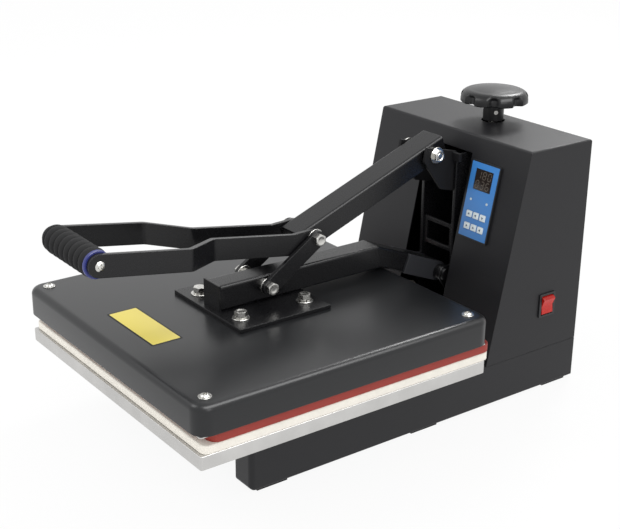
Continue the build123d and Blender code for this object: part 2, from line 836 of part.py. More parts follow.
def column_back_plate():
    """The plate that joins the guides' back edges."""
    return span(-column_outer, column_outer, column_back_y, column_back_y + column_back_sheet,
                column_foot_z, column_top_z)


def column_foot():
    """The foot plate, bolted to the base tray by four bolts."""
    foot = span(-column_foot_half, column_foot_half, hinge_y - ear_radius,
                column_back_y + column_back_sheet, base_top_z, column_foot_z)
    middle_y = (hinge_y + column_back_y) / 2
    for x, y in at_corners(column_outer + column_foot_half, column_foot_bolt_pitch, middle_y):
        foot += hexagon(x, y, column_foot_z, hex_flats, column_foot_bolt_height)
    return foot


def screw_bracket():
    """The bearing plate on top of the guides for the pressure screw."""
    plate = span(-column_outer, column_outer, screw_y - bracket_reach, column_back_y + column_back_sheet,
                 column_top_z, column_top_z + bracket_thickness)
    return plate - disc(0, screw_y, column_top_z - through, journal_radius + running_gap,
                        bracket_thickness + 2 * through)


def hinge_pin():
    """The main hinge's pin with its head and nut, and the spacers between the arm and the guides."""
    lug_outer = beam_width / 2 + lug_thickness
    bolt = pin(hinge_y, hinge_z, hinge_pin_radius, -column_outer - nut_height, column_outer)
    bolt += pin(hinge_y, hinge_z, hinge_head_radius, column_outer, column_outer + hinge_head_height)
    bolt += hex_along_x(hinge_y, hinge_z, 2 * hinge_head_radius, -column_outer - nut_height, -column_outer)
    spacer = pin(hinge_y, hinge_z, hinge_spacer_radius, lug_outer + face_gap, column_inner)
    return bolt + pair(spacer)


# ---- upper plate and its beam -----------------------------------------------------------------
def flange_bolt_places():
    """Four bolts through the flange."""
    return at_corners(flange_bolt_spacing, flange_bolt_spacing, flange_centre_y)


def corner_screw_places():
    """Four screws in the cover's corners."""
    return at_corners(2 * corner_screw_offset, 2 * corner_screw_offset)


def platen_cover():
    """The pressed steel pan over the heated plate, with generous corner and edge radii."""
    inner_size = cover_size - 2 * cover_sheet
    pan = rounded_plate(cover_size, cover_size, cover_corner_radius, cover_bottom_z, cover_top_z)
    pan = fillet(pan.edges().group_by(Axis.Z)[-1], cover_edge_radius)
    hollow = rounded_plate(inner_size, inner_size, cover_corner_radius - cover_sheet,
                           cover_bottom_z - through, cover_top_z - cover_sheet)
    pan -= chamfer(hollow.edges().group_by(Axis.Z)[-1], cover_edge_radius - cover_sheet)
    below_roof = cover_top_z - cover_sheet - through
    for x, y in flange_bolt_places():
        pan -= disc(x, y, below_roof, pivot_radius + bolt_gap, cover_sheet + 2 * through)
    for x, y in corner_screw_places():
        pan -= disc(x, y, below_roof, small_screw_radius + bolt_gap, cover_sheet + 2 * through)
    return pan - rear_disc(gland_x, cover_size / 2 - cover_sheet - through, gland_z,
                           gland_neck_radius + bolt_gap, cover_sheet + 2 * through)


def cover_screws():
    """Pan-head screws with washers in the cover's corners."""
    screws = Part()
    head_z = cover_top_z + small_washer_thickness
    for x, y in corner_screw_places():
        head = Cone(small_head_radius, small_head_crown, small_head_height, align=on_its_foot)
        screws += (Pos(x, y, head_z) * head
                   + disc(x, y, cover_top_z, small_washer_radius, small_washer_thickness)
                   + disc(x, y, cover_top_z - corner_thread_depth, small_screw_radius, corner_thread_depth))
    return screws


def heat_plate():
    """The heated aluminium plate, with pillars that the flange and the cover bolt down to."""
    face_top = cover_bottom_z - face_gap
    body_radius = cover_corner_radius - cover_overhang
    plate = rounded_plate(plate_size, plate_size, heat_plate_corner_radius, heat_bottom_z, face_top)
    plate += rounded_plate(plate_size, plate_size, body_radius, face_top, heat_top_z)
    roof_z = cover_top_z - cover_sheet
    for x, y in flange_bolt_places():
        plate += hexagon(x, y, heat_top_z, boss_flats, roof_z - heat_top_z)
        plate -= disc(x, y, heat_top_z, pivot_radius + thread_gap, roof_z - heat_top_z + through)
    thread_foot = cover_top_z - corner_thread_depth - through
    for x, y in corner_screw_places():
        plate += hexagon(x, y, heat_top_z, corner_boss_flats, roof_z - heat_top_z)
        plate -= disc(x, y, thread_foot, small_screw_radius + thread_gap, roof_z + through - thread_foot)
    return plate


def heating_element():
    """The flattened tubular element: parallel runs joined by half-turns, both ends at the back."""
    reach = plate_half - element_front_margin
    bend = element_pitch / 2
    tail_y = reach + element_tail
    here = (-(element_runs - 1) * bend, tail_y)
    path = []
    for run in range(element_runs):
        heading = 1 if run % 2 else -1
        last = run == element_runs - 1
        there = (here[0], tail_y if last else heading * reach)
        path.append(Line(here, there))
        if not last:
            crown = (there[0] + bend, there[1] + heading * bend)
            here = (there[0] + element_pitch, there[1])
            path.append(ThreePointArc(there, crown, here))
    middle_z = heat_top_z + face_gap + element_thickness / 2
    wire = Pos(0, 0, middle_z) * Wire([edge for line in path for edge in line.edges()])
    start = (-(element_runs - 1) * bend, tail_y, middle_z)
    section = Plane(origin=start, x_dir=(1, 0, 0), z_dir=(0, -1, 0))
    return sweep(section * Rectangle(element_width, element_thickness), wire)


def insulation():
    """The mineral-wool sheet between the element and the cover."""
    low = heat_top_z + face_gap + element_thickness + face_gap
    high = cover_top_z - cover_sheet - face_gap
    half = plate_half - wool_margin
    sheet = span(-half, half, -half, half, low, high)
    reach = boss_flats / math.sqrt(3) + boss_gap
    for x, y in flange_bolt_places():
        sheet -= span(x - reach, x + reach, y - reach, y + reach, low - through, high + through)
    return sheet


def cable_gland():
    """The gland for the heater's lead in the cover's rear wall."""
    wall_y = cover_size / 2
    nut = Pos(gland_x, wall_y, gland_z) * Rot(X=-90) * RegularPolygon(gland_flats / 2, 6, major_radius=False)
    gland = rear_disc(gland_x, wall_y - cover_sheet, gland_z, gland_neck_radius, cover_sheet)
    gland += extrude(nut, gland_nut_length, dir=(0, 1, 0))
    cap_place = Pos(gland_x, wall_y + gland_nut_length, gland_z) * Rot(X=-90)
    gland += cap_place * Cone(gland_cap_radius, gland_mouth_radius, gland_cap_length, align=on_its_foot)
    bore_start = wall_y - cover_sheet - through
    bore_length = gland_nut_length + gland_cap_length + cover_sheet + 2 * through
    return gland - rear_disc(gland_x, bore_start, gland_z, gland_bore_radius, bore_length)


def flange_plate():
    """The square flange under the beam."""
    plate = span(-flange_width / 2, flange_width / 2,
                 flange_centre_y - flange_length / 2, flange_centre_y + flange_length / 2,
                 cover_top_z, flange_top_z)
    for x, y in flange_bolt_places():
        plate -= disc(x, y, cover_top_z - through, pivot_radius + bolt_gap, flange_thickness + 2 * through)
    return plate


def flange_bolts():
    """Hexagon bolts on washers, down into the heated plate's pillars."""
    bolts = Part()
    depth = flange_top_z - heat_top_z - 2 * through
    for x, y in flange_bolt_places():
        bolts += (disc(x, y, flange_top_z - depth, pivot_radius, depth)
                  + disc(x, y, flange_top_z, washer_radius, washer_thickness)
                  + hexagon(x, y, flange_top_z + washer_thickness, hex_flats, flange_head_height))
    return bolts


def mitre():
    """The joint between the beam and the rear arm: its top and bottom corners in (y, z)."""
    top = (bend_y, beam_top_z)
    shift_y = bend_y - rear_arm_height * math.sin(slope)
    shift_z = beam_top_z - rear_arm_height * math.cos(slope)
    bottom = (shift_y + (shift_z - flange_top_z) / math.tan(slope), flange_top_z)
    return top, bottom


def beam():
    """The rectangular tube on the flange, with a welded plate closing its front."""
    top, bottom = mitre()
    back_of_plate = beam_front_y + end_plate_thickness
    half = beam_width / 2
    tube = across(side_outline((back_of_plate, flange_top_z), bottom, top, (back_of_plate, beam_top_z)),
                  -half, half)
    tube = fillet(tube.edges().filter_by(Axis.Y), beam_corner_radius)
    past_end = bottom[0] + beam_width
    tube -= span(-half + beam_wall, half - beam_wall, back_of_plate, past_end,
                 flange_top_z + beam_wall, beam_top_z - beam_wall)
    tube += span(-half - end_plate_proud, half + end_plate_proud, beam_front_y, back_of_plate,
                 flange_top_z, beam_top_z + end_plate_proud)
    return tube - pin(knuckle_y, knuckle_z, pivot_radius + running_gap, -half - through, half + through)


def slope_point(distance, rise):
    """A point in (y, z) near the hinge: distance back along the rear arm, rise square to it."""
    return (hinge_y - distance * math.cos(slope) + rise * math.sin(slope),
            hinge_z + distance * math.sin(slope) + rise * math.cos(slope))


def rear_arm():
    """The sloping tube from the beam to the hinge, with the hinge barrel at its end."""
    top, bottom = mitre()
    half = beam_width / 2
    depth = rear_arm_height / 2
    outer = side_outline(bottom, top,
                         slope_point(hinge_pin_radius, depth), slope_point(hinge_pin_radius, -depth))
    arm = across(outer, -half, half)
    length_edges = arm.edges().filter_by(lambda edge: edge.length > beam_width + beam_height)
    arm = fillet(length_edges, beam_corner_radius)
    near, far = hinge_spacer_radius + hinge_pin_radius, 2 * (hinge_y - bend_y)
    inner = side_outline(slope_point(far, depth - beam_wall), slope_point(near, depth - beam_wall),
                         slope_point(near, -depth + beam_wall), slope_point(far, -depth + beam_wall))
    arm -= across(inner, -half + beam_wall, half - beam_wall)
    arm += pin(hinge_y, hinge_z, depth, -half, half)
    return arm - pin(hinge_y, hinge_z, hinge_pin_radius + running_gap, -half - through, half + through)


def hinge_lugs():
    """Side plates that stiffen the rear arm where the hinge pin passes."""
    half = beam_width / 2
    depth = rear_arm_height / 2
    strip = side_outline(slope_point(0, depth), slope_point(lug_length, depth),
                         slope_point(lug_length, -depth), slope_point(0, -depth))
    lug = across(strip + Pos(hinge_y, hinge_z) * Circle(depth), half, half + lug_thickness)
    lug -= pin(hinge_y, hinge_z, hinge_pin_radius + running_gap,
               half - through, half + lug_thickness + through)
    return pair(lug)


def knuckle_bolt():
    """The link's lower pivot: a bolt through the beam, with spacers and ring washers."""
    half = beam_width / 2
    bolt = pin(knuckle_y, knuckle_z, pivot_radius, -link_outer_x - face_gap, link_outer_x + face_gap)
    spacer = pin(knuckle_y, knuckle_z, knuckle_spacer_radius, half, link_inner_x - washer_thickness)
    ring = pin(knuckle_y, knuckle_z, washer_radius, link_inner_x - washer_thickness, link_inner_x - face_gap)
    head = hex_along_x(knuckle_y, knuckle_z, hex_flats, link_outer_x + face_gap,
                       link_outer_x + face_gap + hex_height)
    return bolt + pair(spacer + ring + head)


# ---- links ------------------------------------------------------------------------------------
def toggle_links():
    """Two flat links with round ends."""
    lower_end = Pos(knuckle_y, knuckle_z) * Circle(link_end_radius)
    upper_end = Pos(elbow_y, elbow_z) * Circle(link_end_radius)
    outline = make_hull(lower_end.edges() + upper_end.edges())
    link = across(outline, link_inner_x, link_outer_x)
    link -= pin(knuckle_y, knuckle_z, pivot_radius + running_gap,
                link_inner_x - through, link_outer_x + through)
    return pair(link)


def elbow_heads():
    """The bolt head and the nut on the links' outer faces at the elbow."""
    return pair(hex_along_x(elbow_y, elbow_z, hex_flats, link_outer_x, link_outer_x + hex_height))


# ---- arm and handle ---------------------------------------------------------------------------
def arm_plane():
    """The arm's plane: X from elbow to upper pivot, Y square to it and up, Z to the right."""
    lean = math.radians(arm_slope)
    return Plane(origin=(0, elbow_y, elbow_z), x_dir=(0, math.cos(lean), math.sin(lean)), z_dir=(1, 0, 0))


def arm_channel():
    """The arm: a folded channel, open below, that closes over the beam when the press opens."""
    length = arm_front_overrun + arm_length + arm_rear_overrun
    centre = (arm_length + arm_rear_overrun - arm_front_overrun) / 2
    outer = extrude(arm_plane() * Pos(centre, 0) * Rectangle(length, arm_depth), arm_half_width, both=True)
    lengthwise = outer.edges().filter_by(Axis((0, 0, 0), arm_plane().x_dir))
    outer = fillet(lengthwise.sort_by(Axis.Z)[-2:], arm_bend_radius)
    inner = extrude(arm_plane() * Pos(centre, -arm_wall) * Rectangle(length + 2 * through, arm_depth),
                    arm_half_width - arm_wall, both=True)
    channel = outer - inner
    for y, z in ((elbow_y, elbow_z), (upper_pivot_y, upper_pivot_z)):
        channel -= pin(y, z, pivot_radius + running_gap, -arm_half_width - through, arm_half_width + through)
    return channel


def ribbon(points, thickness, radius):
    """A strip of even thickness along a polyline of (x, y) points, with rounded bends."""
    sides = {1: [], -1: []}
    for index, point in enumerate(points):
        before = Vector(*point) - Vector(*points[index - 1]) if index else None
        after = Vector(*points[index + 1]) - Vector(*point) if index < len(points) - 1 else None
        directions = [step.normalized() for step in (before, after) if step is not None]
        middle = (directions[0] + directions[-1]).normalized()
        normal = Vector(-middle.Y, middle.X)
        stretch = 1 / Vector(-directions[0].Y, directions[0].X).dot(normal)
        for side in sides:
            sides[side].append(Vector(*point) + normal * (side * stretch * thickness / 2))
    left, right = sides[1], sides[-1]
    lines = [FilletPolyline(*left, radius=radius), FilletPolyline(*right, radius=radius),
             Line(left[0], right[0]), Line(left[-1], right[-1])]
    return make_face([edge for line in lines for edge in line.edges()])


def handle_bars():
    """Two flat bars, joggled apart towards the grip and rounded at both ends."""
    inner_x = arm_half_width + bar_thickness / 2
    outer_x = grip_half_span + bar_thickness / 2
    plan = ribbon([(inner_x, elbow_y + bar_height), (inner_x, joggle_start_y), (outer_x, joggle_end_y),
                   (outer_x, grip_y - bar_height)], bar_thickness, bar_bend_radius)
    strip = extrude(Pos(0, 0, elbow_z - bar_height) * plan, grip_z - elbow_z + 2 * bar_height,
                    dir=(0, 0, 1))
    grip_end = Pos(grip_y, grip_z) * Circle(bar_height / 2)
    heel = Pos(bar_heel_y, heel_z) * Circle(bar_height / 2)
    eye = Pos(elbow_y, elbow_z) * Circle(bar_eye_radius)
    outline = make_hull(grip_end.edges() + heel.edges()) + make_hull(heel.edges() + eye.edges())
    bar = strip & across(outline, 0, outer_x + bar_thickness)
    bar -= pin(elbow_y, elbow_z, pivot_radius + running_gap,
               arm_half_width - through, bar_outer_x + through)
    bar -= pin(grip_y, grip_z, pivot_radius + running_gap, grip_half_span - through,
               grip_half_span + bar_thickness + through)
    return pair(bar)


def grip_tube():
    """The steel tube between the bars, with a thread in each end."""
    tube = pin(grip_y, grip_z, grip_tube_radius, -grip_half_span, grip_half_span)
    return tube - pin(grip_y, grip_z, pivot_radius + thread_gap, -grip_half_span - through,
                      grip_half_span + through)


def ribbed_grip():
    """The grip's sleeve: a row of ridged ribs on the tube."""
    half = grip_half_span - collar_width
    rib = 2 * half / grip_ribs
    points = [(-half, grip_tube_radius), (-half, grip_radius - grip_groove_depth)]
    for index in range(grip_ribs):
        points.append((-half + (index + 0.5) * rib, grip_radius))
        points.append((-half + (index + 1) * rib, grip_radius - grip_groove_depth))
    points.append((half, grip_tube_radius))
    sleeve = revolve(Polygon(*points, align=None), Axis.X)
    return Pos(0, grip_y, grip_z) * sleeve


def grip_collars():
    """A plain ring at each end of the grip."""
    inner_x = grip_half_span - collar_width
    ring = pin(grip_y, grip_z, collar_radius, inner_x, grip_half_span)
    ring = chamfer(ring.edges().group_by(Axis.X)[-1], collar_edge_break)
    return pair(ring - pin(grip_y, grip_z, grip_tube_radius + thread_gap, inner_x - through,
                           grip_half_span + through))


def grip_screws():
    """The screws through the bars into the grip's tube."""
    outer_x = grip_half_span + bar_thickness
    shank = pin(grip_y, grip_z, pivot_radius, outer_x - grip_screw_length, outer_x)
    return pair(shank + pin(grip_y, grip_z, grip_head_radius, outer_x, outer_x + grip_head_height))


def elbow_bolt():
    """The elbow's bolt through the arm and the bars, with a ring washer on each side."""
    reach = link_inner_x - face_gap
    ring = pin(elbow_y, elbow_z, washer_radius, bar_outer_x, reach)
    return pin(elbow_y, elbow_z, pivot_radius, -reach, reach) + pair(ring)


# ---- clevis and pressure screw ----------------------------------------------------------------
def clevis_cheeks():
    """The sliding clevis: two cheeks between the guides, each with a tab against a guide's edge."""
    y, z = upper_pivot_y, upper_pivot_z
    nose_y = y - clevis_nose_reach
    inside_y = column_front_y + clevis_plate
    back_y = column_back_y - clevis_back_gap
    nut_front_y = screw_y - nut_block_depth
    nut_top_z = clevis_bottom_z + nut_block_height + clevis_block_margin
    outline = side_outline(
        (nose_y + clevis_nose_slant, z + clevis_nose_rise), (nose_y, z - clevis_chin_drop),
        (y + clevis_toe_inset, clevis_bottom_z + clevis_toe_rise), (column_front_y, clevis_bottom_z),
        (back_y, clevis_bottom_z), (back_y, nut_top_z),
        (nut_front_y, z - clevis_shoulder_drop), (nut_front_y - clevis_shoulder_slant, z - clevis_top_drop),
        (inside_y, z - clevis_top_drop), (inside_y, z))
    cheek = across(outline, clevis_inner, clevis_outer)
    tab_back_y = column_front_y - face_gap
    cheek += span(clevis_outer - through, slot_half_width - tab_slot_gap,
                  tab_back_y - clevis_plate, tab_back_y, z - tab_height, z)
    cheek -= pin(y, z, pivot_radius + running_gap, clevis_inner - through, clevis_outer + through)
    return pair(cheek)


def nut_block():
    """The threaded block that joins the cheeks and rides on the pressure screw."""
    low = clevis_bottom_z + nut_block_rise
    block = span(-clevis_inner, clevis_inner, screw_y - nut_block_depth / 2, screw_y + nut_block_depth / 2,
                 low, low + nut_block_height)
    return block - disc(0, screw_y, low - through, screw_radius + running_gap, nut_block_height + 2 * through)


def upper_pivot_bolt():
    """The arm's pivot: bolt, nut, washers and the spacers beside the arm."""
    y, z = upper_pivot_y, upper_pivot_z
    washer_x = clevis_outer + washer_thickness
    bolt = pin(y, z, pivot_radius, -washer_x - nut_height - washer_thickness, washer_x)
    bolt += pair(pin(y, z, washer_radius, clevis_outer, washer_x))
    bolt += hex_along_x(y, z, hex_flats, washer_x, washer_x + hex_height)
    bolt += hex_along_x(y, z, hex_flats, -washer_x - nut_height, -washer_x)
    return bolt + pair(pin(y, z, pivot_spacer_radius, arm_half_width + face_gap, clevis_inner))


def grub_screw():
    """The grub screw that holds the knob on the pressure screw."""
    height = (tower_top_z + knob_bottom_z) / 2
    place = Pos(0, screw_y, height) * Rot(Z=grub_bearing)
    seat = Pos(knob_hub_radius - grub_length / 2, 0, 0) * Rot(Y=90)
    return place * seat * Cylinder(grub_radius, grub_length)


def pressure_knob():
    """The moulded knob: a fluted rim under a low crown, on a hub that reaches the tower's top."""
    rim_top = knob_bottom_z + knob_rim_height
    crown = rim_top + knob_crown_height
    dome_radius = (knob_radius ** 2 + knob_crown_height ** 2) / (2 * knob_crown_height)
    half_way_z = crown - dome_radius + math.sqrt(dome_radius ** 2 - knob_radius ** 2 / 4)
    hub_bottom = tower_top_z + knob_clearance
    lines = [Polyline((0, crown), (0, hub_bottom), (knob_hub_radius, hub_bottom),
                      (knob_hub_radius, knob_bottom_z), (knob_radius, knob_bottom_z), (knob_radius, rim_top)),
             ThreePointArc((knob_radius, rim_top), (knob_radius / 2, half_way_z), (0, crown))]
    profile = make_face([edge for line in lines for edge in line.edges()])
    rim_corners = profile.vertices().group_by(Axis.X)[-1].sort_by(Axis.Y)
    profile = fillet(rim_corners[-1], knob_shoulder_radius)
    knob = revolve(Plane.XZ * profile, Axis.Z)
    flute = disc(knob_radius + knob_flute_radius - knob_flute_depth, 0, knob_bottom_z - through,
                 knob_flute_radius, knob_rim_height - knob_flute_land + through)
    for lobe in range(knob_lobes):
        knob -= Rot(Z=(lobe + 0.5) * 360 / knob_lobes) * flute
    knob = Pos(0, screw_y, 0) * knob
    bore_height = knob_bottom_z + knob_bore_depth - hub_bottom
    knob -= disc(0, screw_y, hub_bottom - through, journal_radius + thread_gap, bore_height + through)
    return knob - grub_screw()


def pressure_screw():
    """The pressure screw with its thrust collar."""
    low = clevis_bottom_z - screw_tail
    shoulder = column_top_z - face_gap
    collar_low = column_top_z + bracket_thickness + face_gap
    top = knob_bottom_z + knob_bore_depth - knob_flute_land
    screw = disc(0, screw_y, low, screw_radius, shoulder - low)
    screw += disc(0, screw_y, shoulder, journal_radius, top - shoulder)
    return screw + disc(0, screw_y, collar_low, thrust_collar_radius, thrust_collar_height)


# ---- the whole press --------------------------------------------------------------------------
def build():
    """Every named piece, in the building frame."""
    pieces = {
        "side_legs": side_legs(),
        "rear_tray": rear_tray(),
        "bottom_cover": bottom_cover(),
        "rubber_feet": rubber_feet(),
        "platen_supports": platen_supports(),
        "lower_plate": lower_plate(),
        "foam_pad": foam_pad(),
        "silicone_mat": silicone_mat(),
        "tower_cover": tower_cover(),
        "tower_screws": tower_screws(),
        "controller_case": controller_case(),
        "controller_overlay": controller_overlay(),
        "display_window": display_window(),
        "indicator_leds": indicator_leds(),
        "switch_bezel": switch_bezel(),
        "rocker": rocker(),
        "power_inlet": power_inlet(),
        "fuse_holder": fuse_holder(),
        "relay_module": relay_module(),
        "terminal_block": terminal_block(),
        "column_plates": column_plates(),
        "column_cross_plate": column_cross_plate(),
        "column_back_plate": column_back_plate(),
        "column_foot": column_foot(),
        "screw_bracket": screw_bracket(),
        "hinge_pin": hinge_pin(),
        "platen_cover": platen_cover(),
        "cover_screws": cover_screws(),
        "heat_plate": heat_plate(),
        "heating_element": heating_element(),
        "insulation": insulation(),
        "cable_gland": cable_gland(),
        "flange_plate": flange_plate(),
        "flange_bolts": flange_bolts(),
        "beam": beam(),
        "rear_arm": rear_arm(),
        "hinge_lugs": hinge_lugs(),
        "knuckle_bolt": knuckle_bolt(),
        "toggle_links": toggle_links(),
        "elbow_heads": elbow_heads(),
        "arm_channel": arm_channel(),
        "handle_bars": handle_bars(),
        "grip_tube": grip_tube(),
        "ribbed_grip": ribbed_grip(),
        "grip_collars": grip_collars(),
        "grip_screws": grip_screws(),
        "elbow_bolt": elbow_bolt(),
        "clevis_cheeks": clevis_cheeks(),
        "nut_block": nut_block(),
        "upper_pivot_bolt": upper_pivot_bolt(),
        "pressure_knob": pressure_knob(),
        "pressure_screw": pressure_screw(),
        "grub_screw": grub_screw(),
    }
    for index in range(len(key_places())):
        pieces[f"key_{index + 1}"] = key(index)
    return pieces


def row_shift(pieces):
    """How far the press moves along Y so that its origin is the middle of its footprint."""
    boxes = [piece.bounding_box() for piece in pieces.values()]
    return -(min(box.min.Y for box in boxes) + max(box.max.Y for box in boxes)) / 2


if __name__ == "__main__":
    os.makedirs("parts", exist_ok=True)
    press = build()
    shift = row_shift(press)
    print("shift along Y", round(shift, 4))
    for name, piece in press.items():
        export_step(Pos(0, shift, 0) * piece, f"parts/{name}.step")
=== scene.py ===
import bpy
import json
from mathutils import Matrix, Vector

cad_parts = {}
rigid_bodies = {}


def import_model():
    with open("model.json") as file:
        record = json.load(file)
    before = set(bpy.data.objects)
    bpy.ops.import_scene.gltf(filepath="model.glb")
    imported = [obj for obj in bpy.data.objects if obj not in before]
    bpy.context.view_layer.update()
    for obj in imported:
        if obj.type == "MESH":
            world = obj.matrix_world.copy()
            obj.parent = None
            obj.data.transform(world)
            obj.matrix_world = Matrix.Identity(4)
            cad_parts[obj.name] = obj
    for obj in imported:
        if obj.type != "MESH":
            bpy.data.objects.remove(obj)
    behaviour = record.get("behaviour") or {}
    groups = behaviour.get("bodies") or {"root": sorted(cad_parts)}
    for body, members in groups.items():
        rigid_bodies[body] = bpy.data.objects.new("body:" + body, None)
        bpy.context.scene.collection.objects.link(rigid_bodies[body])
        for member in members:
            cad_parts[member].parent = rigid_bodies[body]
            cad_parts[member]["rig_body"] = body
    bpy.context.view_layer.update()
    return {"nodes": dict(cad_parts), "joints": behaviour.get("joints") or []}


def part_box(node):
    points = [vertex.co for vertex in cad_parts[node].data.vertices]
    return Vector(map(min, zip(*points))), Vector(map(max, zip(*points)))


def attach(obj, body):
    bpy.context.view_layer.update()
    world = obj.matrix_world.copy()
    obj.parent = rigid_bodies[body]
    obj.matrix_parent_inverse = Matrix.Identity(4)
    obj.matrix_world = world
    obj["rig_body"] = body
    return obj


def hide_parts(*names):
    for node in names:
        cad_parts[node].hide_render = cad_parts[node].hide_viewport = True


bl_info = {
    "name": "Clamshell heat press",
    "version": (1, 0, 0),
    "blender": (4, 5, 0),
    "location": "View3D > Sidebar > Heat press",
    "description": "Models and finishes the visible pieces of a clamshell heat press round its packed frame",
    "category": "Object",
}

import json
import math

import bmesh
import bpy
import numpy as np
from mathutils import Matrix

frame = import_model()
JOINTS = {joint["name"]: joint for joint in frame["joints"]}
MM = 0.001


def joint_place(name):
    """A joint's pivot at rest, in metres."""
    return np.array(JOINTS[name]["pos_m"])


def corners(*nodes):
    """The lowest and highest corner of one or more CAD nodes, in metres."""
    boxes = [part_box(node) for node in nodes]
    low = np.min([np.array(box[0]) for box in boxes], axis=0)
    high = np.max([np.array(box[1]) for box in boxes], axis=0)
    return low, high


# Pivots and middles at rest, and how far the controller's panel leans back from upright.
UPPER_PIVOT = joint_place("handle_hinge")
KNUCKLE = joint_place("link_hinge")
ELBOW = sum(corners("elbow_bolt")) / 2
GRIP = sum(corners("grip_tube")) / 2
PLATE_Y = sum(corners("lower_plate"))[1] / 2
KEY_AXIS = JOINTS["key_press_1"]["axis"]
TOWER_LEAN = math.atan2(-KEY_AXIS[2], KEY_AXIS[1])

# The M8 bolts of the linkage and the flange.
SHANK_RADIUS = 4.0 * MM
HEAD_HEIGHT = 5.5 * MM
WASHER_RADIUS = 10.0 * MM
WASHER_BORE = 3.9 * MM
WASHER_THICK = 1.5 * MM

# Faces that meet at less than this angle, in degrees, shade as one: cut pieces, and pressed or soft ones.
CREASE = 38.0
SOFT_CREASE = 60.0


# ---- colours and materials ------------------------------------------------------------------

def linear(hex_colour):
    """An sRGB hex colour as three linear values, by the sRGB standard's curve."""
    values = [int(hex_colour[i:i + 2], 16) / 255 for i in (1, 3, 5)]
    return tuple(v / 12.92 if v <= 0.04045 else ((v + 0.055) / 1.055) ** 2.4 for v in values)


def per_metre(size_mm):
    """Texture scale at which a pattern's features are size_mm across."""
    return 1000.0 / size_mm


def add(tree, kind, inputs=None, **settings):
    """Adds one node; an input is a value or another node's output, which is linked."""
    node = tree.nodes.new(kind)
    for name, value in settings.items():
        setattr(node, name, value)
    for name, value in (inputs or {}).items():
        if isinstance(value, bpy.types.NodeSocket):
            tree.links.new(value, node.inputs[name])
        else:
            node.inputs[name].default_value = value
    return node


def drive(tree, shader, sources):
    """Links a shader's inputs to the outputs that drive them."""
    for name, source in sources.items():
        tree.links.new(source, shader.inputs[name])


def new_material(name, colour, metallic=0.0, roughness=0.5, **shader_inputs):
    """A material with one Principled shader; returns it with its tree, shader and object coordinates."""
    material = bpy.data.materials.new(name)
    material.use_nodes = True
    tree = material.node_tree
    tree.nodes.clear()
    shader = add(tree, "ShaderNodeBsdfPrincipled", {"Base Color": (*colour, 1.0), "Metallic": metallic,
                                                    "Roughness": roughness, **shader_inputs})
    add(tree, "ShaderNodeOutputMaterial", {"Surface": shader.outputs[0]})
    where = add(tree, "ShaderNodeTexCoord").outputs["Object"]
    return material, tree, shader, where


def vary(tree, factor, low, high):
    """A 0 to 1 pattern stretched to run from low to high."""
    return add(tree, "ShaderNodeMapRange", {"Value": factor, "To Min": low, "To Max": high}).outputs[0]


def tint(tree, factor, colour, first, second):
    """A pattern of two shades of a colour, each given as a share of it. A colour mix has its two
    colours on inputs 6 and 7 and its result on output 2."""
    mix = add(tree, "ShaderNodeMix", {"Factor": factor}, data_type="RGBA")
    for socket, share in ((mix.inputs[6], first), (mix.inputs[7], second)):
        shade = [min(1.0, channel * share) for channel in colour]
        socket.default_value = (*shade, 1.0)
    return mix.outputs[2]


def powder_coat(name, colour, grain_mm, depth_mm, roughness, edge_mm=0.6, **shader_inputs):
    """Powder coat baked on steel: its grains give a soft broken sheen, and the edges, where it draws
    thin and round, a light line."""
    cloud_mm = 60.0
    shade = 0.1
    spread = 0.07
    level = {"Specular IOR Level": 0.34, **shader_inputs}
    material, tree, shader, where = new_material(name, colour, roughness=roughness, IOR=1.5, **level)
    rounded = add(tree, "ShaderNodeBevel", {"Radius": edge_mm * MM})
    grain = add(tree, "ShaderNodeTexNoise", {"Vector": where, "Scale": per_metre(grain_mm), "Detail": 3.0})
    cloud = add(tree, "ShaderNodeTexNoise", {"Vector": where, "Scale": per_metre(cloud_mm), "Detail": 2.0})
    bump = add(tree, "ShaderNodeBump", {"Height": grain.outputs[0], "Distance": depth_mm * MM,
                                        "Normal": rounded.outputs[0]})
    patches = vary(tree, cloud.outputs[0], 0.2, 0.8)
    drive(tree, shader, {
        "Base Color": tint(tree, patches, colour, 1 - shade, 1 + shade),
        "Roughness": vary(tree, grain.outputs[0], roughness - spread, roughness + spread),
        "Normal": bump.outputs[0]})
    return material


def plated_steel(name, colour, roughness):
    """Zinc or nickel plate on turned steel: bright, with a faint cloudiness from the bath."""
    cloud_mm = 4.0
    smoother, rougher = 0.06, 0.1
    material, tree, shader, where = new_material(name, colour, metallic=1.0, roughness=roughness)
    cloud = add(tree, "ShaderNodeTexNoise", {"Vector": where, "Scale": per_metre(cloud_mm), "Detail": 4.0})
    drive(tree, shader, {
        "Base Color": tint(tree, cloud.outputs[0], colour, 0.86, 1.06),
        "Roughness": vary(tree, cloud.outputs[0], roughness - smoother, roughness + rougher)})
    return material


def sawn_aluminium(name, colour):
    """Sawn aluminium plate: pale, its upright saw lines break the reflection and dull spots mottle it.
    The lines are drawn coarser than real ones, so that they show."""
    line_mm, spot_mm = 3.0, 30.0
    line_stretch = (1.0, 1.0, 0.15)
    line_depth = 0.03 * MM
    material, tree, shader, where = new_material(name, colour, metallic=1.0, roughness=0.42)
    stretched = add(tree, "ShaderNodeMapping", {"Vector": where, "Scale": line_stretch}).outputs[0]
    lines = add(tree, "ShaderNodeTexNoise", {"Vector": stretched, "Scale": per_metre(line_mm), "Detail": 4.0})
    spots = add(tree, "ShaderNodeTexNoise", {"Vector": where, "Scale": per_metre(spot_mm), "Detail": 4.0})
    bump = add(tree, "ShaderNodeBump", {"Height": lines.outputs[0], "Distance": line_depth})
    mottle = vary(tree, spots.outputs[0], -0.2, 1.2)
    drive(tree, shader, {
        "Base Color": tint(tree, mottle, colour, 1.06, 0.86),
        "Roughness": vary(tree, lines.outputs[0], 0.32, 0.55),
        "Normal": bump.outputs[0]})
    return material


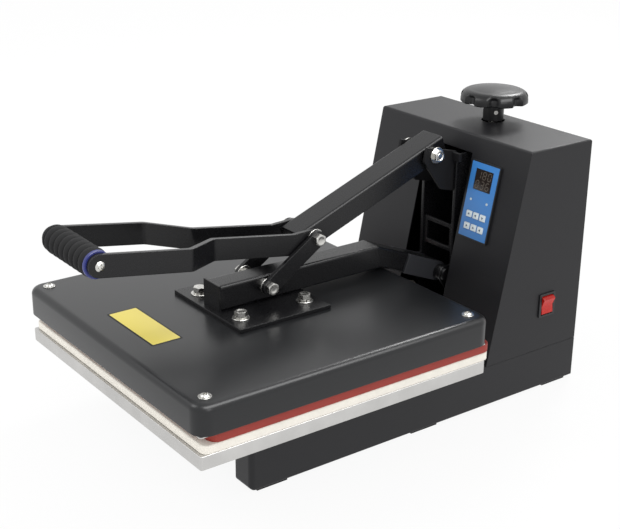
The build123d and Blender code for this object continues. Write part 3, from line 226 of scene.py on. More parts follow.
def sponge(name, colour, cell_mm, depth_mm, roughness=0.9):
    """Expanded rubber or foam: dull, with open cells that catch small shadows."""
    cloud_mm = 14.0
    material, tree, shader, where = new_material(name, colour, roughness=roughness, IOR=1.45)
    cells = add(tree, "ShaderNodeTexVoronoi", {"Vector": where, "Scale": per_metre(cell_mm)})
    cloud = add(tree, "ShaderNodeTexNoise", {"Vector": where, "Scale": per_metre(cloud_mm), "Detail": 3.0})
    bump = add(tree, "ShaderNodeBump", {"Height": cells.outputs[0], "Distance": depth_mm * MM})
    drive(tree, shader, {
        "Base Color": tint(tree, cloud.outputs[0], colour, 0.9, 1.06),
        "Normal": bump.outputs[0]})
    return material


def moulded(name, colour, roughness, grain_mm=0.8, depth_mm=0.03, **shader_inputs):
    """Injection-moulded plastic: even colour with the fine grain of a spark-eroded mould."""
    spread = 0.05
    material, tree, shader, where = new_material(name, colour, roughness=roughness, **shader_inputs)
    grain = add(tree, "ShaderNodeTexNoise", {"Vector": where, "Scale": per_metre(grain_mm), "Detail": 2.0})
    bump = add(tree, "ShaderNodeBump", {"Height": grain.outputs[0], "Distance": depth_mm * MM})
    drive(tree, shader, {
        "Roughness": vary(tree, grain.outputs[0], roughness - spread, roughness + spread),
        "Normal": bump.outputs[0]})
    return material


def printed_membrane(name, colour):
    """Back-printed polyester: a glossy film, its blue drawn a little darker towards the panel's foot."""
    material, tree, shader, where = new_material(name, colour, roughness=0.32, IOR=1.57)
    level = add(tree, "ShaderNodeSeparateXYZ", {"Vector": where}).outputs["Z"]
    low, high = corners("controller_overlay")
    up = add(tree, "ShaderNodeMapRange", {"Value": level, "From Min": low[2], "From Max": high[2]})
    drive(tree, shader, {"Base Color": tint(tree, up.outputs[0], colour, 0.86, 1.12)})
    return material


# ---- surfaces -------------------------------------------------------------------------------

def grid_shell(rings, closed=False):
    """Rings of points joined by quads. An open stack is capped at both ends, and a closed one joins
    its last ring to its first."""
    rings = np.asarray(rings, float)
    index = np.arange(rings.shape[0] * rings.shape[1]).reshape(rings.shape[:2])
    after = np.roll(index, -1, axis=1)
    if closed:
        quads = np.stack([index, after, np.roll(after, -1, axis=0), np.roll(index, -1, axis=0)], axis=-1)
        return rings.reshape(-1, 3), quads.reshape(-1, 4).tolist()
    quads = np.stack([index[:-1], after[:-1], after[1:], index[1:]], axis=-1).reshape(-1, 4)
    return rings.reshape(-1, 3), quads.tolist() + [index[0, ::-1].tolist(), index[-1].tolist()]


def rounded_rectangle(half_x, half_y, radius, steps=8):
    """A rectangle with round corners: in quarter q, the corner's centre plus the radius times (cos, sin)
    of an angle that runs from q * 90 to q * 90 + 90 degrees."""
    quarter = np.arange(4)[:, None] * (math.pi / 2)
    angle = quarter + np.linspace(0, math.pi / 2, steps + 1)[None, :]
    side_x = np.sign(np.cos(quarter + math.pi / 4))
    side_y = np.sign(np.sin(quarter + math.pi / 4))
    x = side_x * (half_x - radius) + radius * np.cos(angle)
    y = side_y * (half_y - radius) + radius * np.sin(angle)
    return np.stack([x, y], axis=-1).reshape(-1, 2)


def edge_profile(z0, z1, low_radius, high_radius, steps=6):
    """Rows of (inset, z) up a wall: a quarter circle at the foot, a straight side and a quarter circle
    at the top."""
    angle = np.linspace(0, math.pi / 2, steps + 1)
    foot_in, foot_up = low_radius * (1 - np.sin(angle)), low_radius * (1 - np.cos(angle))
    head_in, head_down = high_radius * (1 - np.cos(angle)), high_radius * (1 - np.sin(angle))
    foot = np.stack([foot_in, z0 + foot_up], axis=-1)
    head = np.stack([head_in, z1 - head_down], axis=-1)
    return np.concatenate([foot, head])


def slab(centre, half, radius, profile, steps=8):
    """Rounded rectangles stacked up Z, each drawn in by the inset that its row of the profile gives."""
    smallest = 0.2 * MM
    rings = []
    for inset, z in profile:
        corner = max(radius - inset, smallest)
        ring = rounded_rectangle(half[0] - inset, half[1] - inset, corner, steps)
        rings.append(np.column_stack([ring + centre[:2], np.full(len(ring), z)]))
    return grid_shell(rings)


def turned(profile, steps=40, radius_at=None, closed=False):
    """A profile of (radius, height) rows turned about Z; radius_at may change both with the angle."""
    angle = np.arange(steps) * (2 * math.pi / steps)
    rows = np.asarray(profile, float)
    radius = np.repeat(rows[:, :1], steps, axis=1)
    height = np.repeat(rows[:, 1:2], steps, axis=1)
    if radius_at is not None:
        radius, height = radius_at(radius, height, angle[None, :])
    points = np.stack([radius * np.cos(angle), radius * np.sin(angle), height], axis=-1)
    return grid_shell(points, closed)


def moved(shell, matrix=None, offset=(0, 0, 0)):
    """A shell turned by a 3 x 3 matrix and then shifted."""
    points, faces = shell
    if matrix is not None:
        points = points @ np.asarray(matrix, float).T
    return points + np.asarray(offset, float), faces


# The first three lay an upright shape along +X, -X and +Y, and the last puts a flat one on the panel.
UPRIGHT_TO_RIGHT = np.array([[0, 0, 1], [1, 0, 0], [0, 1, 0]], float)
UPRIGHT_TO_LEFT = np.array([[0, 0, -1], [1, 0, 0], [0, -1, 0]], float)
UPRIGHT_TO_BACK = np.array([[1, 0, 0], [0, 0, 1], [0, -1, 0]], float)
FRONT_NORMAL = np.array([0, -math.cos(TOWER_LEAN), math.sin(TOWER_LEAN)])
FRONT_UP = np.array([0, math.sin(TOWER_LEAN), math.cos(TOWER_LEAN)])
ON_FRONT = np.column_stack([(1, 0, 0), FRONT_UP, FRONT_NORMAL])


def spun(shell, angle, place):
    """An upright shape turned about its own axis and then set down at a place."""
    across, along = math.cos(angle), math.sin(angle)
    return moved(shell, [[across, -along, 0], [along, across, 0], [0, 0, 1]], place)


def both(shell):
    """A shell and its mirror image on the other side of the middle plane."""
    points, faces = shell
    return [shell, (points * (-1, 1, 1), [face[::-1] for face in faces])]


def piece(name, shells, kind, body, node=None, sharp=CREASE):
    """Joins shells to one mesh object of a kind of finish, which may stand for a CAD node."""
    points = []
    faces = []
    for shell_points, shell_faces in shells:
        start = sum(len(block) for block in points)
        points.append(shell_points)
        faces += [[start + corner for corner in face] for face in shell_faces]
    mesh = bpy.data.meshes.new(name)
    mesh.from_pydata(np.concatenate(points).tolist(), [], faces)
    return finished(name, mesh, kind, body, node, sharp)


def sheet_copy(name, node, kind, bevel=0.0):
    """A folded or cut piece: the CAD node's mesh with its flat faces joined, so that each shades evenly."""
    same_point = 0.005 * MM
    same_plane = math.radians(1)
    mesh = frame["nodes"][node].data.copy()
    work = bmesh.new()
    work.from_mesh(mesh)
    bmesh.ops.remove_doubles(work, verts=work.verts, dist=same_point)
    bmesh.ops.dissolve_limit(work, angle_limit=same_plane, verts=work.verts, edges=work.edges,
                             delimit={"NORMAL"})
    work.to_mesh(mesh)
    work.free()
    thing = finished(name, mesh, kind, frame["nodes"][node]["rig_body"], node, CREASE, bevel)
    shading = thing.modifiers.new("Flat faces", "WEIGHTED_NORMAL")
    shading.weight = 100
    shading.keep_sharp = True


def finished(name, mesh, kind, body, node, sharp, bevel=0.0):
    """Smooth shading up to the sharp edges or an edge rounding, then finish and body; hides the CAD node."""
    work = bmesh.new()
    work.from_mesh(mesh)
    bmesh.ops.recalc_face_normals(work, faces=work.faces)
    for face in work.faces:
        face.smooth = True
    for edge in work.edges:
        edge.smooth = bevel > 0 or not edge.is_manifold or edge.calc_face_angle() < math.radians(sharp)
    work.to_mesh(mesh)
    work.free()
    mesh.materials.clear()
    mesh.materials.append(finish_of(kind))
    thing = bpy.data.objects.new(name, mesh)
    bpy.context.scene.collection.objects.link(thing)
    if bevel > 0:
        rounding = thing.modifiers.new("Edge rounding", "BEVEL")
        rounding.width = bevel
        rounding.segments = 2
        rounding.limit_method = "ANGLE"
        rounding.angle_limit = math.radians(30)
    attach(thing, body)
    if node:
        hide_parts(node)
    return thing


def dress(node, kind):
    """Gives a CAD node that stays in view its finish."""
    slots = frame["nodes"][node].data.materials
    slots.clear()
    slots.append(finish_of(kind))


# ---- fasteners ------------------------------------------------------------------------------

def hexagon(flats, height, bore=0.0, steps=48):
    """A hexagon turned from a profile: the radius is half the flats over the cosine of the angle from
    the nearest flat's middle, and the corners drop by half of what they reach past a cone.
    A bolt's head has a shallow dish in its top, and a nut a bore with a countersink."""
    half = flats / 2
    cone = 0.95 * half
    cone_slope = 0.5
    underside = 0.02 * height
    flat_top = 0.93 * half

    def shape(radius, level, angle):
        away = np.mod(angle + math.pi / 6, math.pi / 3) - math.pi / 6
        six = half / np.cos(away)
        wide = np.where(radius >= half, six, np.minimum(radius, six))
        drop = np.maximum(0, wide - cone) * cone_slope
        return wide, np.where(level > height / 2, level - drop, level + np.where(level > 0, drop, 0))

    outside = [(half, 0), (half, underside), (half, height), (flat_top, height)]
    if bore > 0:
        countersink = 0.9 * MM
        profile = [(bore, 0), *outside, (bore + countersink, height), (bore, height - countersink)]
        return turned(profile, steps, shape, closed=True)
    dish = 0.7 * MM
    profile = [(0.3 * half, 0), *outside, (0.7 * half, height), (0.5 * half, height - 0.8 * dish),
               (0.3 * half, height - dish)]
    return turned(profile, steps, shape)


def washer(outer, inner, low, high, steps=40):
    """A flat ring with lightly rounded corners."""
    soft = 0.15 * (high - low)
    profile = [(inner, low), (outer - soft, low), (outer, low + soft), (outer, high - soft),
               (outer - soft, high), (inner, high)]
    return turned(profile, steps, closed=True)


def spring_washer(outer, inner, low, thickness):
    """A split ring: a square wire carried round 350 degrees while it rises by a third of its thickness."""
    half_gap, steps = 5, 40
    angle = np.radians(np.linspace(half_gap, 360 - half_gap, steps))[:, None]
    radius = np.array([inner, outer, outer, inner])[None, :]
    rise = thickness / 3 * angle / (2 * math.pi)
    height = low + rise + np.array([0, 0, thickness, thickness])[None, :]
    return grid_shell(np.stack([radius * np.cos(angle), radius * np.sin(angle), height], axis=-1))


def dome_head(radius, height, recess=1.5 * MM):
    """A pan head with a cross recess. At each share of the radius the dome stands height times
    (1 - 0.75 * share to the power of 2.6), and 0.2 of that at the rim. The recess sinks it where the
    smaller of |x| and |y| is under 0.16 of the radius and the larger is under 0.6 of it."""
    inner_rows, outer_rows = np.linspace(0.02, 0.62, 14), np.sin(np.linspace(0.72, math.pi / 2, 8))
    share = np.concatenate([inner_rows, outer_rows])[::-1]
    top = height * (1 - 0.75 * share ** 2.6) * np.where(share > 0.999, 0.2, 1)
    profile = np.vstack([[(radius, 0)], np.column_stack([share * radius, top])])

    def cross(width, level, angle):
        x, y = np.abs(width * np.cos(angle)), np.abs(width * np.sin(angle))
        inside = (np.minimum(x, y) < 0.16 * radius) & (np.maximum(x, y) < 0.6 * radius)
        return width, np.where(inside, level - recess, level)

    return turned(profile, 56, cross)


def on_axis(shell, seat, pivot, side=1):
    """An upright fastener laid on a pivot's axis, seated at x = seat and pointing right or left."""
    matrix = UPRIGHT_TO_RIGHT if side > 0 else UPRIGHT_TO_LEFT
    return moved(shell, matrix, (seat, *pivot[1:]))


def shank(reach, pivot):
    """A bolt's round shank on a pivot's axis, as far to the left as to the right."""
    return on_axis(turned([(SHANK_RADIUS, -reach), (SHANK_RADIUS, reach)], 24), 0, pivot)


def inner_corners(low, high, inset):
    """The four corners of a box's outline, drawn in by an inset."""
    return [(x, y) for x in (low[0] + inset, high[0] - inset) for y in (low[1] + inset, high[1] - inset)]


# ---- sizes and colours a user may change ----------------------------------------------------

def length_setting(name, description, default_mm):
    """A length setting, given in millimetres and kept in metres."""
    return bpy.props.FloatProperty(name=name, description=description, default=default_mm * MM, min=0.0,
                                   unit="LENGTH", precision=5)


def colour_setting(name, description, hex_colour):
    """A colour setting, given as sRGB hex and kept as linear values."""
    return bpy.props.FloatVectorProperty(name=name, description=description, subtype="COLOR", size=3,
                                         default=linear(hex_colour), min=0.0, max=1.0)


class HeatPressSizes(bpy.types.PropertyGroup):
    """Radii and small sizes that the frame doesn't give."""
    cover_corner: length_setting("Cover corner", "Radius of the pressed cover's upright corners", 18.0)
    cover_edge: length_setting("Cover edge", "Radius between the cover's top and its sides", 8.0)
    cover_wall: length_setting("Cover wall", "Sheet thickness of the pressed cover", 2.0)
    mat_corner: length_setting("Mat corner", "Corner radius of the silicone mat", 12.0)
    mat_setback: length_setting("Mat setback", "How far the mat's front edge has moved back on the pad", 11.0)
    mat_overhang: length_setting("Mat overhang", "How far the mat passes the work plate's back edge", 9.5)
    pad_overhang: length_setting("Pad overhang", "How far the pad passes the work plate's back edge", 6.5)
    foam_corner: length_setting("Foam corner", "Corner radius of the foam pad", 8.0)
    edge_break: length_setting("Edge rounding", "Radius on the edges of cut and folded steel", 0.6)
    hexagon_flats: length_setting("Hexagon", "Width across the flats of the bolt heads", 13.0)
    label_width: length_setting("Plate width", "Width of the bare yellow plate on the cover", 103.0)
    label_depth: length_setting("Plate depth", "Depth of the bare yellow plate on the cover", 38.0)


class HeatPressColours(bpy.types.PropertyGroup):
    """Base colours of the finishes."""
    cover: colour_setting("Cover", "Powder coat of the upper cover", "#191A1C")
    body: colour_setting("Body", "Powder coat of the tower and base", "#17171A")
    mechanism: colour_setting("Mechanism", "Satin coat of arm, bars and links", "#131315")
    bright: colour_setting("Zinc plate", "Bolts, nuts and washers", "#CFCECA")
    aluminium: colour_setting("Aluminium", "Work plate and heated plate", "#C9C8C6")
    foam: colour_setting("Foam", "Sponge pad under the mat", "#F0EBE1")
    mat: colour_setting("Mat", "Silicone mat", "#943127")
    grip: colour_setting("Grip", "Foam sleeve of the handle", "#0B0B0D")
    collar: colour_setting("Collar", "Plastic ring at the grip's near end", "#2A3278")
    knob: colour_setting("Knob", "Moulded pressure knob", "#101012")
    panel: colour_setting("Panel", "Membrane of the controller", "#3A80C8")
    keys: colour_setting("Keys", "Key caps of the controller", "#DCE6EA")
    display: colour_setting("Display", "Window over the digits", "#2A2320")
    digits: colour_setting("Digits", "Unlit segments of the digits", "#574F47")
    switch: colour_setting("Switch", "Rocker of the power switch", "#B81E15")
    plate: colour_setting("Plate", "Bare yellow plate", "#E2D05F")


class HeatPressStudio(bpy.types.PropertyGroup):
    """Camera and light."""
    azimuth: bpy.props.FloatProperty(name="Azimuth", description="Camera bearing, 0 looks along +Y",
                                     default=math.radians(53.5), subtype="ANGLE")
    elevation: bpy.props.FloatProperty(name="Elevation", description="Camera height angle",
                                       default=math.radians(21.16), subtype="ANGLE")
    roll: bpy.props.FloatProperty(name="Roll", description="Camera roll", default=math.radians(0.55),
                                  subtype="ANGLE")
    lens: bpy.props.FloatProperty(name="Lens", description="Focal length on a 36 mm wide sensor, in mm",
                                  default=72.64)
    place: bpy.props.FloatVectorProperty(name="Camera", description="Camera position",
                                         subtype="TRANSLATION", default=(1.110, -0.8292, 0.7181))
    backdrop: colour_setting("Backdrop", "Floor and background", "#FFFFFF")
    sky: bpy.props.FloatProperty(name="Sky", description="Strength of the even light", default=0.8, min=0.0)


# The finishes made so far, by kind.
SHELF = {}


def finish_of(kind):
    """The material of one of the press's finishes, made on first use and then shared.
    Grains and foam cells are drawn at about 1 mm, coarser than real ones, so that they show."""
    if kind in SHELF:
        return SHELF[kind]
    colours = bpy.context.scene.heat_press_colours
    makers = {
        # Flows out smooth in the oven: lamps show in it as soft patches.
        "cover": lambda: powder_coat("Semi gloss powder coat", colours.cover, grain_mm=1.1, depth_mm=0.02,
                                     roughness=0.31, edge_mm=0.3,
                                     **{"Coat Weight": 0.15, "Coat Roughness": 0.2}),
        # Grained, for large sheets: broad pale sheen and no clear reflection.
        "body": lambda: powder_coat("Matt powder coat", colours.body, grain_mm=0.8, depth_mm=0.05,
                                    roughness=0.45, edge_mm=0.8),
        # Smooth and near black: faces stay dark and edges catch a line of light.
        "mechanism": lambda: powder_coat("Satin powder coat", colours.mechanism, grain_mm=0.9,
                                         depth_mm=0.015, roughness=0.28, edge_mm=1.2),
        # The same black baked dull, so that broad upright faces stay black.
        "cheek": lambda: powder_coat("Matt black clevis coat", colours.mechanism, grain_mm=0.9,
                                     depth_mm=0.03, roughness=0.6, **{"Specular IOR Level": 0.2}),
        # A coat on the lugs, a shade paler than the arm's.
        "lug": lambda: powder_coat("Paler powder coat", linear("#2C2D31"), grain_mm=0.9, depth_mm=0.03,
                                   roughness=0.5),
        # Bright plate on fasteners: white where it faces a lamp and grey beside it.
        "zinc": lambda: plated_steel("Zinc plated steel", colours.bright, roughness=0.25),
        # A warmer plate than zinc.
        "nickel": lambda: plated_steel("Nickel plated brass", linear("#D9D2C2"), roughness=0.24),
        # Darkened by heat: dull brown grey.
        "sheath": lambda: plated_steel("Heater sheath steel", linear("#8B857C"), roughness=0.45),
        # Bare and unpolished: an even pale grey.
        "aluminium": lambda: sawn_aluminium("Sawn aluminium plate", colours.aluminium),
        # Closed skin over small cells: cream and quite dull.
        "foam": lambda: sponge("Silicone sponge", colours.foam, cell_mm=1.2, depth_mm=0.15),
        # Solid rubber: smoother than the sponge, with a faint sheen.
        "mat": lambda: sponge("Silicone rubber sheet", colours.mat, cell_mm=2.5, depth_mm=0.05,
                              roughness=0.6),
        # Open cells that swallow light: the darkest piece.
        "grip": lambda: sponge("Expanded rubber sleeve", colours.grip, cell_mm=0.9, depth_mm=0.12,
                               roughness=0.85),
        # Dense moulded rubber: black with a weak sheen.
        "foot": lambda: sponge("Moulded rubber feet", linear("#141414"), cell_mm=1.5, depth_mm=0.03,
                               roughness=0.8),
        # Loose fibres: pale and rough.
        "wool": lambda: sponge("Mineral wool", linear("#C9C5B4"), cell_mm=2.0, depth_mm=0.4),
        # Dyed through: deep blue with a soft highlight.
        "collar": lambda: moulded("Moulded nylon ring", colours.collar, roughness=0.35),
        # Hard and glassy from a polished mould: crisp lights on its flutes.
        "knob": lambda: moulded("Moulded phenolic knob", colours.knob, roughness=0.32, grain_mm=0.6,
                                depth_mm=0.015, **{"Specular IOR Level": 0.36}),
        # Fine grained black housing: quiet, between matt and satin.
        "case": lambda: moulded("Moulded ABS case", linear("#121316"), roughness=0.45),
        # Print behind a film: strong blue under a gloss.
        "panel": lambda: printed_membrane("Printed polyester membrane", colours.panel),
        # Milky caps: pale, with no hard highlight.
        "keys": lambda: moulded("Key caps in hard silicone", colours.keys, roughness=0.5),
        # Flat ink.
        "icon": lambda: moulded("Screen print on keys", linear("#4A5A70"), roughness=0.6),
        # Polished sheet: dark, with a mirror-like glint.
        "window": lambda: moulded("Smoked acrylic window", colours.display, roughness=0.12, grain_mm=2.0,
                                  depth_mm=0.005),
        # Unlit segments: just paler than the window.
        "digits": lambda: moulded("Display segments", colours.digits, roughness=0.4),
        # Clear resin over an unlit die: pale and wet looking.
        "lamp": lambda: moulded("Lamp lens", linear("#C9D6DA"), roughness=0.15),
        # Polished and dyed through: saturated red with a sharp highlight.
        "rocker": lambda: moulded("Polycarbonate rocker", colours.switch, roughness=0.14, grain_mm=2.0,
                                  depth_mm=0.01, IOR=1.58, **{"Specular IOR Level": 0.25}),
        # Flat black ink round the plate.
        "border": lambda: moulded("Printed ink border", linear("#0A0A0A"), roughness=0.75),
        # Calendered film: even yellow with a soft sheen.
        "plate": lambda: moulded("Vinyl plate", colours.plate, roughness=0.45, grain_mm=1.2, depth_mm=0.01),
    }
    SHELF[kind] = makers[kind]()
    return SHELF[kind]


# ---- operators ------------------------------------------------------------------------------

class HEATPRESS_OT_stage(bpy.types.Operator):
    """Pale floor, soft studio light and the camera"""
    bl_idname = "heat_press.stage"
    bl_label = "Stage"

    def execute(self, context):
        studio = context.scene.heat_press_studio
        self.make_world(studio)
        self.make_floor(studio)
        self.make_lights()
        self.make_camera(context, studio)
        context.scene.view_settings.view_transform = "Standard"
        return {"FINISHED"}

    def make_world(self, studio):
        """Even light on the press; the camera and reflections see the backdrop's white."""
        world = bpy.data.worlds.new("Studio light")
        bpy.context.scene.world = world
        world.use_nodes = True
        tree = world.node_tree
        tree.nodes.clear()
        strength = self.seen_or(tree, 1.0, studio.sky)
        sky = add(tree, "ShaderNodeBackground", {"Color": (*studio.backdrop, 1.0), "Strength": strength})
        add(tree, "ShaderNodeOutputWorld", {"Surface": sky.outputs[0]})

    def seen_or(self, tree, seen, otherwise):
        """One value on camera, glossy and transmission rays, another on the rest."""
        rays = add(tree, "ShaderNodeLightPath").outputs
        mirrored = add(tree, "ShaderNodeMath", {0: rays["Is Glossy Ray"], 1: rays["Is Transmission Ray"]},
                       operation="MAXIMUM")
        looked = add(tree, "ShaderNodeMath", {0: rays["Is Camera Ray"], 1: mirrored.outputs[0]},
                     operation="MAXIMUM")
        return vary(tree, looked.outputs[0], otherwise, seen)

    def make_floor(self, studio):
        """A wide paper floor. Seen by the camera or a reflection it glows nearly as white as the backdrop,
        and the rest is lit paper, which keeps the press's shadow."""
        half_width = 6.0
        glow_share = 0.92
        mesh = bpy.data.meshes.new("Studio floor")
        square = ((-1, -1), (1, -1), (1, 1), (-1, 1))
        mesh.from_pydata([(x * half_width, y * half_width, 0) for x, y in square], [], [(0, 1, 2, 3)])
        floor = bpy.data.objects.new("Studio floor", mesh)
        bpy.context.scene.collection.objects.link(floor)
        material, tree, shader, _ = new_material("Paper floor", linear("#FAFAFA"), roughness=0.9)
        glow = add(tree, "ShaderNodeEmission", {"Color": (*studio.backdrop, 1.0), "Strength": 1.0})
        share = self.seen_or(tree, glow_share, 0.0)
        mix = add(tree, "ShaderNodeMixShader", {0: share, 1: shader.outputs[0], 2: glow.outputs[0]})
        output = next(node for node in tree.nodes if node.type == "OUTPUT_MATERIAL")
        tree.links.new(mix.outputs[0], output.inputs["Surface"])
        mesh.materials.append(material)

    def make_lights(self):
        """A broad lamp high behind the press, one over the operator's side and a weak one from the right.
        The strip above is seen only by reflections and draws the light lines along the edges."""
        # Name, shape, place and aim in metres, width and height in metres, power in watts.
        for name, shape, place, aim, size, power in (
                ("Back lamp", "DISK", (-0.9, 1.9, 1.9), (0, 0.1, 0.15), (0.8, 0.8), 26.0),
                ("Front lamp", "DISK", (-0.9, -1.7, 1.9), (0, -0.1, 0.1), (1.4, 1.4), 16.0),
                ("Right lamp", "DISK", (2.2, -0.3, 1.1), (0, 0.1, 0.15), (1.2, 1.2), 9.0),
                ("Edge strip", "RECTANGLE", (1.0, 0.2, 1.6), (0, 0.2, 0.1), (2.1, 0.9), 38.0)):
            lamp = bpy.data.lights.new(name, "AREA")
            lamp.shape = shape
            lamp.size, lamp.size_y = size
            lamp.energy = power
            holder = bpy.data.objects.new(name, lamp)
            bpy.context.scene.collection.objects.link(holder)
            holder.location = place
            holder.visible_diffuse = shape == "DISK"
            axes = self.axes_to(np.array(place) - np.array(aim))
            holder.rotation_euler = Matrix(np.column_stack(axes).tolist()).to_euler()

    def axes_to(self, back):
        """Right, up and back axes of something that looks against back."""
        back = back / np.linalg.norm(back)
        right = np.cross((0, 0, 1), back)
        right = right / np.linalg.norm(right)
        return right, np.cross(back, right), back

    def make_camera(self, context, studio):
        """The camera at its bearing, height angle and roll."""
        camera = bpy.data.cameras.new("Camera")
        camera.lens = studio.lens
        camera.sensor_width = 36.0
        camera.sensor_fit = "HORIZONTAL"
        camera.clip_start = 0.05
        holder = bpy.data.objects.new("Camera", camera)
        context.scene.collection.objects.link(holder)
        level = math.cos(studio.elevation)
        back = np.array([math.sin(studio.azimuth) * level, -math.cos(studio.azimuth) * level,
                         math.sin(studio.elevation)])
        right, up, back = self.axes_to(back)
        tilted_right = right * math.cos(studio.roll) + up * math.sin(studio.roll)
        tilted_up = up * math.cos(studio.roll) - right * math.sin(studio.roll)
        turn = Matrix(np.column_stack([tilted_right, tilted_up, back]).tolist()).to_4x4()
        holder.matrix_world = Matrix.Translation(studio.place) @ turn
        context.scene.camera = holder


class HEATPRESS_OT_base(bpy.types.Operator):
    """Legs, tray, tower cover, guide column and the fittings at the back"""
    bl_idname = "heat_press.base"
    bl_label = "Base and tower"

    def execute(self, context):
        rounding = context.scene.heat_press_sizes.edge_break
        for node, kind, radius in (
                ("side_legs", "body", 0.0), ("rear_tray", "body", rounding),
                ("platen_supports", "body", rounding), ("tower_cover", "body", 0.0),
                ("column_plates", "mechanism", rounding), ("column_cross_plate", "mechanism", rounding),
                ("column_back_plate", "mechanism", rounding), ("column_foot", "mechanism", rounding),
                ("screw_bracket", "mechanism", rounding)):
            sheet_copy(node + "_coated", node, kind, radius)
        for node, kind in (("bottom_cover", "zinc"), ("rubber_feet", "foot"), ("tower_screws", "zinc"),
                           ("power_inlet", "case"), ("fuse_holder", "case"), ("relay_module", "aluminium"),
                           ("terminal_block", "case"), ("hinge_pin", "mechanism"),
                           ("heating_element", "sheath"), ("insulation", "wool"),
                           ("nut_block", "mechanism"), ("pressure_screw", "zinc"), ("grip_tube", "zinc"),
                           ("grub_screw", "zinc")):
            dress(node, kind)
        return {"FINISHED"}


class HEATPRESS_OT_plates(bpy.types.Operator):
    """Work plate, sponge pad, silicone mat and heated plate"""
    bl_idname = "heat_press.plates"
    bl_label = "Plates and pads"

    def execute(self, context):
        sizes = context.scene.heat_press_sizes
        plate_low, plate_high = corners("lower_plate")
        for name, node, kind, corner, edge, setback, overhang in (
                ("work_plate_machined", "lower_plate", "aluminium", 2.5 * MM, 0.8 * MM, 0.0, 0.0),
                ("sponge_pad", "foam_pad", "foam", sizes.foam_corner, 1.6 * MM, 0.0, sizes.pad_overhang),
                ("silicone_mat_moulded", "silicone_mat", "mat", sizes.mat_corner, 1.2 * MM,
                 sizes.mat_setback, sizes.mat_overhang)):
            low, high = corners(node)
            low[0], high[0] = plate_low[0], plate_high[0]
            low[1] += setback
            high[1] = plate_high[1] + overhang
            profile = edge_profile(low[2], high[2], edge, edge)
            shell = slab((low + high) / 2, (high - low) / 2, corner, profile)
            thing = piece(name, [shell], kind, "press_frame", node)
        dress("heat_plate", "aluminium")
        return {"FINISHED"}


class HEATPRESS_OT_cover(bpy.types.Operator):
    """Pressed cover of the heated plate with its corner screws, gland and bare yellow plate"""
    bl_idname = "heat_press.cover"
    bl_label = "Upper cover"

    def execute(self, context):
        sizes = context.scene.heat_press_sizes
        low, high = corners("platen_cover")
        self.make_pan(sizes, low, high)
        self.make_screws(high[2])
        self.make_gland()
        self.make_bare_plate(sizes, high[2])
        return {"FINISHED"}

    def make_pan(self, sizes, low, high):
        """Outer wall up and over, inner wall back down: one closed skin of even thickness."""
        wall, edge = sizes.cover_wall, sizes.cover_edge
        lip = 0.6 * MM
        outside = edge_profile(low[2], high[2], lip, edge, 10)
        inside = edge_profile(low[2], high[2] - wall, 0.0, edge - wall, 10) + (wall, 0)
        profile = np.vstack([inside[::-1], outside])
        shell = slab((low + high) / 2, (high - low) / 2, sizes.cover_corner, profile, 12)
        piece("cover_pressed", [shell], "cover", "upper_platen", "platen_cover", SOFT_CREASE)

    def make_screws(self, top):
        """A pan head on a washer at each corner, each head turned to another angle."""
        washer_radius, bore, thick = 7.0 * MM, 2.6 * MM, 1.0 * MM
        ring = washer(washer_radius, bore, 0, thick)
        head = dome_head(4.8 * MM, 2.8 * MM)
        shells = []
        for x, y in inner_corners(*corners("cover_screws"), washer_radius):
            turn = 0.4 + 5.0 * x - 3.0 * y
            shells.append(moved(ring, offset=(x, y, top)))
            shells.append(spun(head, turn, (x, y, top + thick)))
        piece("corner_screws", shells, "zinc", "upper_platen", "cover_screws")

    def make_gland(self):
        """A hexagon against the rear wall and a turned cap that narrows to the lead's hole."""
        low, high = corners("cable_gland")
        middle = (low + high) / 2
        wall_to_nut = 2.0 * MM
        nut = hexagon(19.0 * MM, 5.0 * MM)
        cap_rows = np.array([(3.5, 4.0), (8.0, 4.0), (8.2, 6.0), (7.6, 11.0), (5.6, 17.6), (5.2, 18.0),
                             (3.5, 18.0)])
        cap = turned(cap_rows * MM, closed=True)
        place = (middle[0], low[1] + wall_to_nut, middle[2])
        shells = [moved(part, UPRIGHT_TO_BACK, place) for part in (nut, cap)]
        piece("lead_gland", shells, "nickel", "upper_platen", "cable_gland")

    def make_bare_plate(self, sizes, top):
        """A thin yellow plate without print, on a slightly larger dark one that frames it."""
        half = np.array([sizes.label_width, sizes.label_depth]) / 2
        to_left, to_front = 8.5 * MM, 139.0 * MM
        centre = (-to_left, PLATE_Y - to_front)
        corner, edge, sunk = 1.5 * MM, 0.1 * MM, 0.1 * MM
        for name, kind, margin, rise in (("bare_plate_border", "border", 0.0, 0.2 * MM),
                                         ("bare_plate", "plate", 2.0 * MM, 0.3 * MM)):
            profile = edge_profile(top - sunk, top + rise, 0.0, edge, 2)
            piece(name, [slab(centre, half - margin, corner, profile)], kind, "upper_platen")


